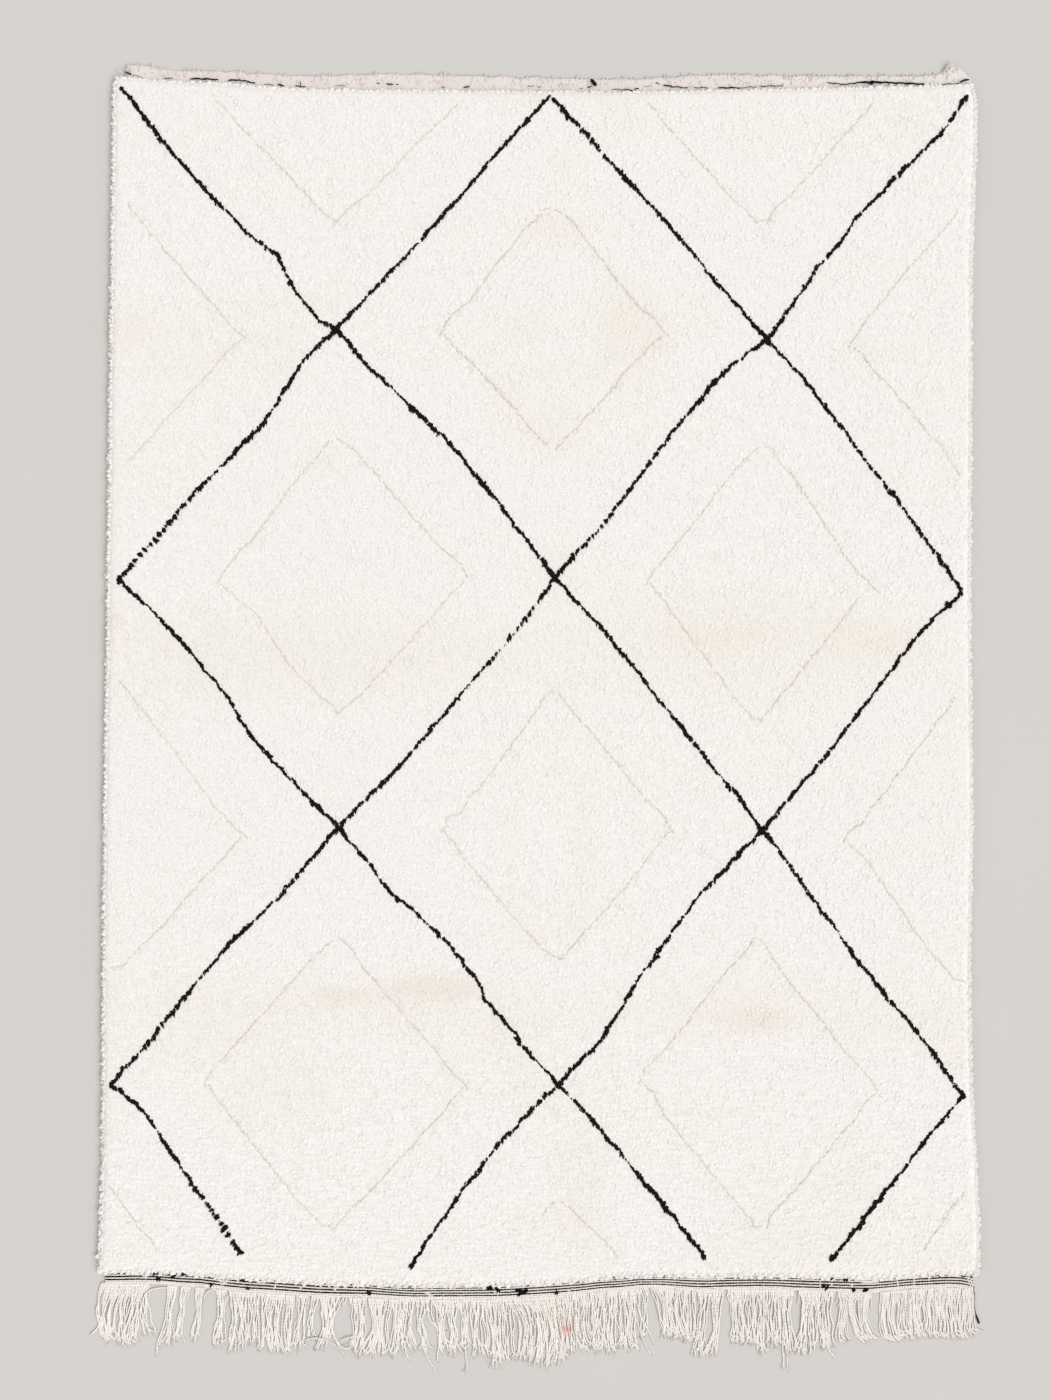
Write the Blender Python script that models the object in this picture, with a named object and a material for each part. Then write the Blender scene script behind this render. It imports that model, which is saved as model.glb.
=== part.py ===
"""A Beni Ourain rug, lying flat on the floor.

It is woven in one piece: a flat-woven heading at the plain end, a field of hand-knotted wool pile, and a
flat-woven band at the other end, where the warp ends hang out as a fringe. So the woven cloth is one flat
solid that reaches as high as its pile, and the fringe is one comb along the band's edge.

Metres. +X runs across the rug, +Y along it towards the plain end, and +Z up from the floor. The origin is
the middle of the whole outline, fringe included, on the floor. The tables below measure "across" from the
warp's centre line, positive to +X, and "down" from the plain end towards the fringe."""

from collections import namedtuple
from math import cos, pi, sin

import bmesh
import bpy
import numpy as np

# Driving dimensions.
PILE_TOP = 0.020  # from the floor to the tips of the pile
CLOTH_THICKNESS = 0.004  # the flat-woven ends, which have no pile
FRINGE_THICKNESS = 0.005  # warp threads lying over each other
SHOULDER = 0.014  # how far in from its edge the pile rounds over
SIDE_WALL = 0.008  # the upright part of the pile's side, below that shoulder
SWELL = 0.0012  # how far the top of the pile swells and dips
GAP = 0.0003  # between the cloth and the fringe

# The flat-woven ends are a little narrower than the pile, which spreads over them.
HEADING_INSET = (0.026, 0.002)  # left and right, at the plain end
BAND_INSET = (0.017, 0.015)  # left and right, at the fringe

SHOULDER_STEPS = 4
FIELD_COLUMNS = 26
FIELD_ROWS = 38

# The two selvedges: the rug was woven a little wider towards the fringe.
Selvedge = namedtuple("Selvedge", "down left right")
SELVEDGES = [
    Selvedge(down=0.00, left=-0.971, right=1.001),
    Selvedge(down=0.05, left=-0.977, right=1.019),
    Selvedge(down=0.12, left=-0.978, right=1.022),
    Selvedge(down=0.38, left=-0.981, right=1.013),
    Selvedge(down=0.80, left=-0.986, right=1.010),
    Selvedge(down=1.33, left=-0.993, right=1.008),
    Selvedge(down=1.73, left=-0.998, right=1.012),
    Selvedge(down=2.07, left=-1.001, right=1.008),
    Selvedge(down=2.34, left=-1.002, right=1.012),
    Selvedge(down=2.60, left=-1.004, right=1.026),
    Selvedge(down=2.80, left=-1.011, right=1.029),
]

# The four lines that run across the rug: the heading's edge, where the pile starts and ends, and the edge
# that the fringe hangs from. The heading's corners are drawn out into small frayed ears.
Line = namedtuple("Line", "across heading_edge pile_start pile_end cloth_end")
LINES = [
    Line(-0.990, -0.016, 0.002, 2.774, 2.800),
    Line(-0.930, -0.014, 0.006, 2.774, 2.800),
    Line(-0.870, -0.007, 0.012, 2.774, 2.800),
    Line(-0.745, -0.001, 0.017, 2.781, 2.811),
    Line(-0.560, 0.007, 0.030, 2.795, 2.825),
    Line(-0.380, 0.006, 0.034, 2.802, 2.833),
    Line(-0.150, 0.006, 0.036, 2.805, 2.837),
    Line(0.060, 0.006, 0.037, 2.798, 2.827),
    Line(0.250, 0.006, 0.036, 2.781, 2.810),
    Line(0.590, 0.007, 0.031, 2.784, 2.814),
    Line(0.780, 0.006, 0.027, 2.788, 2.821),
    Line(0.900, 0.003, 0.022, 2.781, 2.811),
    Line(0.935, -0.001, 0.021, 2.780, 2.810),
    Line(0.960, -0.017, 0.020, 2.779, 2.811),
    Line(0.985, -0.011, 0.019, 2.779, 2.812),
    Line(1.010, 0.009, 0.018, 2.779, 2.814),
]

# How the fringe hangs along the edge: its length, and how far its ends lean to the right.
Hang = namedtuple("Hang", "across length lean")
HANGS = [
    Hang(-1.00, 0.126, -0.024),
    Hang(-0.90, 0.138, -0.026),
    Hang(-0.74, 0.132, -0.010),
    Hang(-0.56, 0.138, 0.000),
    Hang(-0.38, 0.138, 0.000),
    Hang(-0.26, 0.142, 0.006),
    Hang(-0.22, 0.172, 0.008),
    Hang(-0.18, 0.142, 0.006),
    Hang(-0.04, 0.152, 0.018),
    Hang(0.04, 0.164, 0.022),
    Hang(0.15, 0.144, 0.010),
    Hang(0.26, 0.142, 0.006),
    Hang(0.32, 0.118, 0.004),
    Hang(0.40, 0.152, -0.006),
    Hang(0.48, 0.132, -0.004),
    Hang(0.54, 0.146, 0.000),
    Hang(0.58, 0.184, 0.002),
    Hang(0.62, 0.148, 0.004),
    Hang(0.70, 0.134, 0.008),
    Hang(0.80, 0.118, 0.010),
    Hang(0.92, 0.114, 0.002),
    Hang(1.02, 0.104, 0.004),
]

# One tooth of the comb: gathered at its neck, splayed above its tip.
Girth = namedtuple("Girth", "share half_width")
GIRTHS = [
    Girth(share=0.00, half_width=0.0110),
    Girth(share=0.22, half_width=0.0062),
    Girth(share=0.50, half_width=0.0066),
    Girth(share=0.82, half_width=0.0100),
    Girth(share=1.00, half_width=0.0045),
]
TEETH = 60
COMB_HEADER = 0.006  # the strip of last wefts and knots that the teeth hang from
TOOTH_SWAY = 0.0030
LENGTH_SPREAD = 0.006
FRINGE_SEED = 11

WOOL_IVORY = (0.87, 0.85, 0.80, 1.0)
WARP_CREAM = (0.84, 0.78, 0.73, 1.0)


def smooth(table, column, at):
    """The table's column at each place in `at`, on a cubic that passes through every row."""
    places = np.array([row[0] for row in table])
    values = np.array([getattr(row, column) for row in table])
    slopes = np.gradient(values, places)
    at = np.clip(at, places[0], places[-1])
    i = np.clip(np.searchsorted(places, at) - 1, 0, len(places) - 2)
    span = places[i + 1] - places[i]
    t = (at - places[i]) / span
    return (
        (2 * t**3 - 3 * t**2 + 1) * values[i]
        + (t**3 - 2 * t**2 + t) * span * slopes[i]
        + (3 * t**2 - 2 * t**3) * values[i + 1]
        + (t**3 - t**2) * span * slopes[i + 1]
    )


def shoulder():
    """(inset, rise) of each step of the pile's round edge, from its foot to just before its top."""
    angles = [step / SHOULDER_STEPS * pi / 2 for step in range(SHOULDER_STEPS)]
    return [(SHOULDER * (1 - cos(angle)), sin(angle)) for angle in angles]


def columns():
    """(share, inset, rise) of each grid column, left to right, packed closer towards the corners."""
    left = [(0.0, inset, rise) for inset, rise in shoulder()]
    right = [(1.0, inset, rise) for inset, rise in reversed(shoulder())]
    even = np.linspace(0, 1, FIELD_COLUMNS + 1)
    shares = 0.4 * even + 0.6 * (0.5 - 0.5 * np.cos(pi * even))
    return np.array(left + [(share, SHOULDER, 1.0) for share in shares] + right)


def rows():
    """(line before, line after, share between them, inset, rise) of each grid row, plain end first."""
    steps = shoulder()
    start = [("pile_start", "pile_end", 0.0, inset, rise) for inset, rise in steps]
    end = [("pile_start", "pile_end", 1.0, inset, rise) for inset, rise in reversed(steps)]
    shares = np.linspace(0, 1, FIELD_ROWS + 1)
    field = [("pile_start", "pile_end", share, SHOULDER, 1.0) for share in shares]
    heading = ("heading_edge", "pile_start", 0.0, 0.0, 0.0)
    band = ("pile_end", "cloth_end", 1.0, 0.0, 0.0)
    return [heading, *start, *field, *end, band]


def swell(across, down):
    """The slow unevenness of the pile's top: two long waves that cross."""
    return SWELL * (0.6 * np.sin(4.1 * across + 2.3 * down) + 0.4 * np.sin(6.7 * down - 3.0 * across))


def cloth_grid():
    """(across, down, height) of every point of the woven cloth's upper side, as rows by columns."""
    share, inset, rise = columns().T
    nominal = SELVEDGES[0].left + share * (SELVEDGES[0].right - SELVEDGES[0].left)
    side_height = SIDE_WALL + (PILE_TOP - SIDE_WALL) * rise
    points = []
    for before, after, between, row_inset, row_rise in rows():
        first = smooth(LINES, before, nominal) + row_inset
        last = smooth(LINES, after, nominal) - row_inset
        down = first + between * (last - first)
        ends = HEADING_INSET if before == "heading_edge" or between == 0.0 else BAND_INSET
        drawn_in = np.array(ends) * (row_rise == 0.0)
        left = smooth(SELVEDGES, "left", down) + drawn_in[0] + inset
        right = smooth(SELVEDGES, "right", down) - drawn_in[1] - inset
        across = left + share * (right - left)
        height = CLOTH_THICKNESS + (side_height - CLOTH_THICKNESS) * row_rise
        height += swell(across, down) * rise * row_rise
        points.append(np.stack([across, down, height], axis=1))
    return np.array(points)


def material(name, colour):
    """Matt wool or cotton of one colour."""
    made = bpy.data.materials.new(name)
    made.use_nodes = True
    shader = made.node_tree.nodes["Principled BSDF"]
    shader.inputs["Base Color"].default_value = colour
    shader.inputs["Roughness"].default_value = 0.95
    shader.inputs["Metallic"].default_value = 0.0
    made.diffuse_color = colour
    return made


def object_from(bm, name, colour):
    """Turns a bmesh into a named object with its own material, faces pointing out."""
    bmesh.ops.recalc_face_normals(bm, faces=bm.faces)
    mesh = bpy.data.meshes.new(name)
    bm.to_mesh(mesh)
    bm.free()
    mesh.materials.append(material(name, colour))
    made = bpy.data.objects.new(name, mesh)
    bpy.context.scene.collection.objects.link(made)
    return made


def woven_rug():
    """The cloth and its pile: a grid shaped by the tables, with its rim carried down to the floor."""
    grid = cloth_grid()
    down_count, across_count = grid.shape[:2]
    bm = bmesh.new()
    bmesh.ops.create_grid(bm, x_segments=across_count - 1, y_segments=down_count - 1, size=0.5)
    bm.verts.ensure_lookup_table()
    for index, vert in enumerate(bm.verts):
        across, down, height = grid[index // across_count, index % across_count]
        vert.co = (across, -down, height)
    rim = [edge for edge in bm.edges if edge.is_boundary]
    wall = bmesh.ops.extrude_edge_only(bm, edges=rim)["geom"]
    foot = [item for item in wall if isinstance(item, bmesh.types.BMVert)]
    for vert in foot:
        vert.co.z = 0.0
    standing = set(foot)
    sole = [edge for edge in bm.edges if edge.is_boundary and standing.issuperset(edge.verts)]
    bmesh.ops.contextual_create(bm, geom=sole)
    rug = object_from(bm, "woven_rug", WOOL_IVORY)
    rug.data.shade_smooth()
    rug.data.set_sharp_from_angle(angle=pi / 4)
    return rug


def tooth(root, neighbour_share, length, phase):
    """The outline of one tooth as (across, down), down its left side and up its right."""
    lean = smooth(HANGS, "lean", neighbour_share)
    left, right = [], []
    for girth in GIRTHS:
        sway = TOOTH_SWAY * girth.share * sin(2 * pi * girth.share + phase)
        centre = root[0] + lean * girth.share**1.6 + sway
        down = root[1] + length * girth.share
        left.append((centre - girth.half_width, down))
        right.append((centre + girth.half_width, down))
    return left + right[::-1]


def fringe_outline():
    """The comb's outline as (across, down): along under the cloth's edge, then back round each tooth."""
    edge = cloth_grid()[-1, :, :2]
    upper = edge + (0.0, GAP)
    header = edge[:, 1] + COMB_HEADER
    rng = np.random.default_rng(FRINGE_SEED)
    margin = GIRTHS[0].half_width
    roots = np.linspace(edge[0, 0] + margin, edge[-1, 0] - margin, TEETH)
    lower = []
    for across in roots:
        down = np.interp(across, edge[:, 0], header)
        length = smooth(HANGS, "length", across) + rng.uniform(-LENGTH_SPREAD, LENGTH_SPREAD)
        lower += tooth((across, down), across, length, phase=rng.uniform(0, 2 * pi))
    return [*lower, *upper[::-1]]


def end_fringe():
    """The warp ends: the comb's outline, filled and raised off the floor."""
    bm = bmesh.new()
    outline = [bm.verts.new((across, -down, 0.0)) for across, down in fringe_outline()]
    sole = bm.faces.new(outline)
    raised = bmesh.ops.extrude_face_region(bm, geom=[sole])["geom"]
    top = [item for item in raised if isinstance(item, bmesh.types.BMVert)]
    bmesh.ops.translate(bm, verts=top, vec=(0.0, 0.0, FRINGE_THICKNESS))
    return object_from(bm, "end_fringe", WARP_CREAM)


def centre_on_origin(pieces):
    """Moves the pieces together, so that the middle of their outline is at the origin."""
    corners = np.array([vert.co[:2] for piece in pieces for vert in piece.data.vertices])
    middle = (corners.min(axis=0) + corners.max(axis=0)) / 2
    for piece in pieces:
        piece.location = (-middle[0], -middle[1], 0.0)


for old in list(bpy.data.objects):
    bpy.data.objects.remove(old, do_unlink=True)
centre_on_origin([woven_rug(), end_fringe()])
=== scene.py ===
# %% [markdown]
# # A hand-knotted wool rug, seen from above
# The rug lies flat on a pale floor. It is woven in one piece: a flat-woven heading at the plain end, a
# field of ivory wool pile with a lattice of near-black knots, a band of twined rows, and the warp ends as a
# fringe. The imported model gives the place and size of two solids, the woven rug and its fringe, and this
# script dresses them: cloth, pile, knots, rows and threads are all real meshes, worked out as whole arrays.

from collections import namedtuple
from math import cos, pi, radians, sin

import bpy
import numpy as np
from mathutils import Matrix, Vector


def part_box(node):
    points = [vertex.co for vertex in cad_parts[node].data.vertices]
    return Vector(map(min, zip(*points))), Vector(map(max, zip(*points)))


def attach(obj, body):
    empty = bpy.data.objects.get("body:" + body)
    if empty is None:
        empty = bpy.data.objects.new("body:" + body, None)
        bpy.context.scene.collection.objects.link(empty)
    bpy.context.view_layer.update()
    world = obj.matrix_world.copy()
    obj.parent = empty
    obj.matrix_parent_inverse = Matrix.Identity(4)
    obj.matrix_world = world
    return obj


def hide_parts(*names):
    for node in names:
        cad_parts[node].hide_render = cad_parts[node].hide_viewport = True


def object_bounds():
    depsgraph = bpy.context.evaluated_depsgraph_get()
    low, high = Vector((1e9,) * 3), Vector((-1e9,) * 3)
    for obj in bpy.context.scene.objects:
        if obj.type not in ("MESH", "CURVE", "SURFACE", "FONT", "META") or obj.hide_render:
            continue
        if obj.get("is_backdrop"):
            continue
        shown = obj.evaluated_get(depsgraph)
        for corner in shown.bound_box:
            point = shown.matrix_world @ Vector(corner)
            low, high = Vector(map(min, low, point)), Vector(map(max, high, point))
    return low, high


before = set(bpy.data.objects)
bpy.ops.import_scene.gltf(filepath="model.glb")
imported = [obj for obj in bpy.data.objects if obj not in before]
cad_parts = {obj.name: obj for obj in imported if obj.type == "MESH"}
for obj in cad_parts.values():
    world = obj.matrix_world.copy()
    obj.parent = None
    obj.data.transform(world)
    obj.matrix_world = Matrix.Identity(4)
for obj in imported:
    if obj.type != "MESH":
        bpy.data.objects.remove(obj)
CAD_LOW, CAD_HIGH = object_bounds()
RUG_LOW, RUG_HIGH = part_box("woven_rug")
FRINGE_LOW, FRINGE_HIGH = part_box("end_fringe")
print("rug", [round(b - a, 4) for a, b in zip(RUG_LOW, RUG_HIGH)])
print("fringe", [round(b - a, 4) for a, b in zip(FRINGE_LOW, FRINGE_HIGH)])

# %% [markdown]
# ## The loom
# A weaver measures a rug from its plain end and from the middle of its warp. The tables here do the same:
# `across` runs to the right from the warp's centre line and `down` from the plain end towards the fringe,
# both in metres. They are the tables that the solid was shaped by, so every piece here lies where it lies.
# Places of knots and threads are read off the photograph in its pixels, and `PIXEL` makes metres of them.

# %% Tables of the woven outline
PIXEL = 0.00231  # metres of rug to a pixel of the photograph
WARP_CENTRE_PIXEL = 535.0
PLAIN_END_PIXEL = 72.0
PHOTO_WIDTH, PHOTO_HEIGHT = 1051, 1400


def records(kind, rows):
    """Each row of a table as a record of that kind, so that its columns have names."""
    return [kind(*row) for row in rows]


Selvedge = namedtuple("Selvedge", "down left right")
SELVEDGES = records(Selvedge, [
    (0.00, -0.971, 1.001), (0.05, -0.977, 1.019), (0.12, -0.978, 1.022), (0.38, -0.981, 1.013),
    (0.80, -0.986, 1.010), (1.33, -0.993, 1.008), (1.73, -0.998, 1.012), (2.07, -1.001, 1.008),
    (2.34, -1.002, 1.012), (2.60, -1.004, 1.026), (2.80, -1.011, 1.029),
])

Line = namedtuple("Line", "across heading_edge pile_start pile_end cloth_end")
LINES = records(Line, [
    (-0.990, -0.016, 0.005, 2.774, 2.800), (-0.930, -0.016, 0.009, 2.774, 2.800),
    (-0.870, -0.006, 0.015, 2.774, 2.800), (-0.745, -0.003, 0.020, 2.781, 2.811),
    (-0.560, 0.008, 0.033, 2.795, 2.825), (-0.380, 0.004, 0.037, 2.802, 2.833),
    (-0.150, 0.008, 0.039, 2.805, 2.837), (0.060, 0.014, 0.040, 2.798, 2.827),
    (0.250, 0.014, 0.041, 2.781, 2.810), (0.380, 0.006, 0.038, 2.783, 2.813),
    (0.590, 0.008, 0.034, 2.784, 2.814), (0.780, 0.008, 0.030, 2.788, 2.821),
    (0.900, 0.007, 0.027, 2.781, 2.811), (0.935, 0.003, 0.026, 2.780, 2.810),
    (0.960, -0.015, 0.025, 2.779, 2.811), (0.985, -0.009, 0.023, 2.779, 2.812),
    (1.010, 0.014, 0.021, 2.779, 2.814),
])
HEADING_INSET = (0.026, 0.002)  # the flat-woven ends are narrower than the pile, left and right
BAND_INSET = (0.017, 0.015)


def smooth(table, column, at):
    """The table's column at each place in `at`: a cubic through every row, with the rows' own slopes. With
    t the share of the way from one row to the next, it is (2t^3 - 3t^2 + 1) value + (t^3 - 2t^2 + t) span
    slope of the first, plus (3t^2 - 2t^3) value + (t^3 - t^2) span slope of the second."""
    places = np.array([row[0] for row in table])
    values = np.array([getattr(row, column) for row in table])
    slopes = np.gradient(values, places)
    at = np.clip(at, places[0], places[-1])
    i = np.clip(np.searchsorted(places, at) - 1, 0, len(places) - 2)
    span = places[i + 1] - places[i]
    t = (at - places[i]) / span
    return (
        (2 * t**3 - 3 * t**2 + 1) * values[i]
        + (t**3 - 2 * t**2 + t) * span * slopes[i]
        + (3 * t**2 - 2 * t**3) * values[i + 1]
        + (t**3 - t**2) * span * slopes[i + 1]
    )


# %% From the loom and the photograph to the frame
scan = np.linspace(0.0, 2.80, 400)
SHIFT_X = (RUG_LOW.x + RUG_HIGH.x) / 2 - (
    smooth(SELVEDGES, "left", scan).min() + smooth(SELVEDGES, "right", scan).max()
) / 2
SHIFT_Y = RUG_HIGH.y + smooth(LINES, "heading_edge", np.linspace(-0.99, 1.01, 400)).min()


def from_photo(x_pixel, y_pixel):
    """Photograph pixels to metres in the frame: the loom's measures, then the shift to the frame's
    origin."""
    across = (np.asarray(x_pixel, float) - WARP_CENTRE_PIXEL) * PIXEL
    down = (np.asarray(y_pixel, float) - PLAIN_END_PIXEL) * PIXEL
    return across + SHIFT_X, SHIFT_Y - down


def to_photo(x, y):
    """Metres in the frame back to photograph pixels."""
    return (x - SHIFT_X) / PIXEL + WARP_CENTRE_PIXEL, (SHIFT_Y - y) / PIXEL + PLAIN_END_PIXEL


PILE_WIDTH, PILE_LENGTH = 1.995, 2.765  # between the selvedges, and from the first knots to the last


def ease(s):
    """From 0 to 1, level at both ends: 3 s squared less 2 s cubed, with s kept between 0 and 1."""
    s = np.clip(s, 0, 1)
    return s * s * (3 - 2 * s)


def field(u, v, first="pile_start", last="pile_end", inset=(0.0, 0.0)):
    """Shares across and down the woven field to x and y: down runs evenly between the two lines, and across
    between the selvedges at that depth, each drawn in by its inset."""
    nominal = SELVEDGES[0].left + u * (SELVEDGES[0].right - SELVEDGES[0].left)
    start = smooth(LINES, first, nominal)
    down = start + v * (smooth(LINES, last, nominal) - start)
    left = smooth(SELVEDGES, "left", down) + inset[0]
    right = smooth(SELVEDGES, "right", down) - inset[1]
    return left + u * (right - left) + SHIFT_X, SHIFT_Y - down


print("shift from the loom to the frame", round(SHIFT_X, 4), round(SHIFT_Y, 4))

# %% [markdown]
# ## The camera
# The photograph is taken from straight above with a long lens, so the camera looks down the z axis. Its
# height follows from the lens and from how many metres of floor the picture holds.

# %% Camera
LENS, SENSOR = 55.0, 36.0  # millimetres, the sensor's along the picture's long side
aim_x, aim_y = from_photo(PHOTO_WIDTH / 2, PHOTO_HEIGHT / 2)
camera_data = bpy.data.cameras.new("camera above")
camera_data.lens = LENS
camera_data.sensor_width = SENSOR
camera = bpy.data.objects.new("camera above", camera_data)
bpy.context.scene.collection.objects.link(camera)
camera_height = PHOTO_HEIGHT * PIXEL * LENS / SENSOR
EXACT_HEIGHT = 0.008  # above the floor, where one pixel of the picture is exactly one measure of the loom
camera.location = (float(aim_x), float(aim_y), EXACT_HEIGHT + camera_height)
camera_data.clip_end = 50.0
bpy.context.scene.camera = camera
print("camera", [round(c, 3) for c in camera.location])

# %% [markdown]
# ## Meshes from arrays
# Wool is thousands of small things that are alike, so one function carries a small profile along many paths
# at once, and another writes whole arrays of points and faces into a mesh. A `Shape` is such a set of
# arrays.


# %% Shapes
class Shape:
    """Points, four-sided and three-sided faces as arrays, and one value per point for each attribute."""

    def __init__(self, points, quads=None, triangles=None, **attributes):
        self.points = np.asarray(points, float).reshape(-1, 3)
        self.quads = np.zeros((0, 4), int) if quads is None else np.asarray(quads).reshape(-1, 4)
        self.triangles = np.zeros((0, 3), int) if triangles is None else np.asarray(triangles).reshape(-1, 3)
        self.attributes = attributes

    def __add__(self, other):
        """Both shapes as one: the second one's corner numbers move up by the first one's point count."""
        first = len(self.points)
        names = set(self.attributes) | set(other.attributes)
        sizes = (first, len(other.points))
        both = {
            name: np.concatenate(
                [shape.attributes.get(name, np.zeros(size)) for shape, size in zip((self, other), sizes)]
            )
            for name in names
        }
        return Shape(
            np.concatenate([self.points, other.points]),
            np.concatenate([self.quads, other.quads + first]),
            np.concatenate([self.triangles, other.triangles + first]),
            **both,
        )

    def triangle_count(self):
        """A four-sided face counts as two."""
        return 2 * len(self.quads) + len(self.triangles)


def unit(vectors):
    """Each vector divided by its length."""
    return vectors / np.maximum(np.linalg.norm(vectors, axis=-1, keepdims=True), 1e-12)


def strands(paths, radii, sides=3, roll=0.0, flat=1.0, twist=0.0, lobes=0.0, pointed=True, **attributes):
    """A round or lobed profile carried along many paths at once.

    paths is strands x stations x 3 and radii strands x stations. At each station the profile stands in two
    directions square to the path, `over` and `side`. Its corner at angle a is the station's point plus
    radius times (flat cos(a) over + sin(a) side), and the angle turns by `twist` from station to station.
    `lobes` draws the profile out to two sides, as two plies do. A pointed strand ends in one point, a blunt
    one in a cap. Each attribute is one value per strand or per station."""
    count, stations = radii.shape
    along = unit(np.gradient(paths, axis=1))
    side = unit(np.cross(along, (0.0, 0.0, 1.0)))
    over = np.cross(side, along)
    rings = stations - 1 if pointed else stations
    corner = 2 * pi * np.arange(sides) / sides
    angle = corner[None, None, :] + np.reshape(roll, (-1, 1, 1)) + twist * np.arange(rings)[None, :, None]
    reach = radii[:, :rings, None] * (1 + lobes * np.cos(2 * corner))[None, None, :]
    points = (
        paths[:, :rings, None, :]
        + (reach * np.cos(angle) * flat)[..., None] * over[:, :rings, None, :]
        + (reach * np.sin(angle))[..., None] * side[:, :rings, None, :]
    ).reshape(count, rings * sides, 3)
    if pointed:
        points = np.concatenate([points, paths[:, -1:, :]], axis=1)
    each = points.shape[1]
    ring, j = np.meshgrid(np.arange(rings - 1), np.arange(sides), indexing="ij")
    near, far = ring * sides, (ring + 1) * sides
    turn = (j + 1) % sides
    quads = np.stack([near + j, near + turn, far + turn, far + j], axis=-1).reshape(-1, 4)
    fan = np.arange(1, sides - 1)
    foot = np.stack([0 * fan, fan + 1, fan], axis=1)
    last = (rings - 1) * sides
    k = np.arange(sides)
    if pointed:
        head = np.stack([last + k, last + (k + 1) % sides, np.full(sides, each - 1)], axis=1)
    else:
        head = np.stack([last + 0 * fan, last + fan, last + fan + 1], axis=1)
    triangles = np.concatenate([foot, head])
    start = (np.arange(count) * each)[:, None, None]
    per_point = {}
    for name, values in attributes.items():
        values = np.asarray(values, float)
        if values.ndim == 1:
            values = np.repeat(values[:, None], stations, axis=1)
        spread = np.repeat(values[:, :rings], sides, axis=1)
        if pointed:
            spread = np.concatenate([spread, values[:, -1:]], axis=1)
        per_point[name] = spread.reshape(-1)
    return Shape(
        points.reshape(-1, 3),
        (quads[None] + start).reshape(-1, 4),
        (triangles[None] + start).reshape(-1, 3),
        **per_point,
    )


def grid_faces(rows, columns, offset=0, flip=False):
    """The four-sided faces between neighbouring points of a rows x columns grid."""
    i, j = np.meshgrid(np.arange(rows - 1), np.arange(columns - 1), indexing="ij")
    a = i * columns + j
    faces = np.stack([a, a + columns, a + columns + 1, a + 1], axis=-1).reshape(-1, 4) + offset
    return faces[:, ::-1] if flip else faces


def grid_rim(rows, columns):
    """The corner numbers round the rim of a grid: along the first row, down the last column, and back."""
    return np.concatenate(
        [
            np.arange(columns),
            np.arange(1, rows) * columns + columns - 1,
            (rows - 1) * columns + np.arange(columns - 2, -1, -1),
            np.arange(rows - 2, 0, -1) * columns,
        ]
    )


def mound(top, foot):
    """A grid with a wall from its rim down to the height `foot`, and a sole of long faces that reach from
    one side's rim to the other's. The sole is hidden, so it needs no grid."""
    rows, columns = top.shape[:2]
    rim = grid_rim(rows, columns)
    low = top.reshape(-1, 3)[rim].copy()
    low[:, 2] = foot
    first, size = rows * columns, len(rim)
    lower = first + np.arange(size)
    wall = np.stack([rim, np.roll(rim, -1), np.roll(lower, -1), lower], axis=1)
    right = columns - 1 + np.arange(rows)
    left = (size - np.arange(rows)) % size
    sole = np.stack([right[1:-2], left[1:-2], left[2:-1], right[2:-1]], axis=1) + first
    start = np.arange(columns - 1)
    start_fan = np.stack([start, 0 * start + left[1], start + 1], axis=1)
    start_fan = np.concatenate([start_fan, [[columns - 1, left[1], right[1]]]]) + first
    end = right[-1] + np.arange(columns - 1)
    end_fan = np.stack([end, 0 * end + right[-2], end + 1], axis=1)
    end_fan = np.concatenate([end_fan, [[left[-1], right[-2], left[-2]]]]) + first
    faces = np.concatenate([grid_faces(rows, columns), wall, sole])
    return Shape(np.concatenate([top.reshape(-1, 3), low]), faces, np.concatenate([start_fan, end_fan]))


def closed_sheet(top, bottom):
    """Two grids of the same size, upper and lower face, joined by a wall round their rim."""
    rows, columns = top.shape[:2]
    under = rows * columns
    rim = grid_rim(rows, columns)
    after = np.roll(rim, -1)
    wall = np.stack([rim, after, after + under, rim + under], axis=1)
    return Shape(
        np.concatenate([top.reshape(-1, 3), bottom.reshape(-1, 3)]),
        np.concatenate([grid_faces(rows, columns), grid_faces(rows, columns, under, flip=True), wall]),
    )


TRIANGLES = {}


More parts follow.
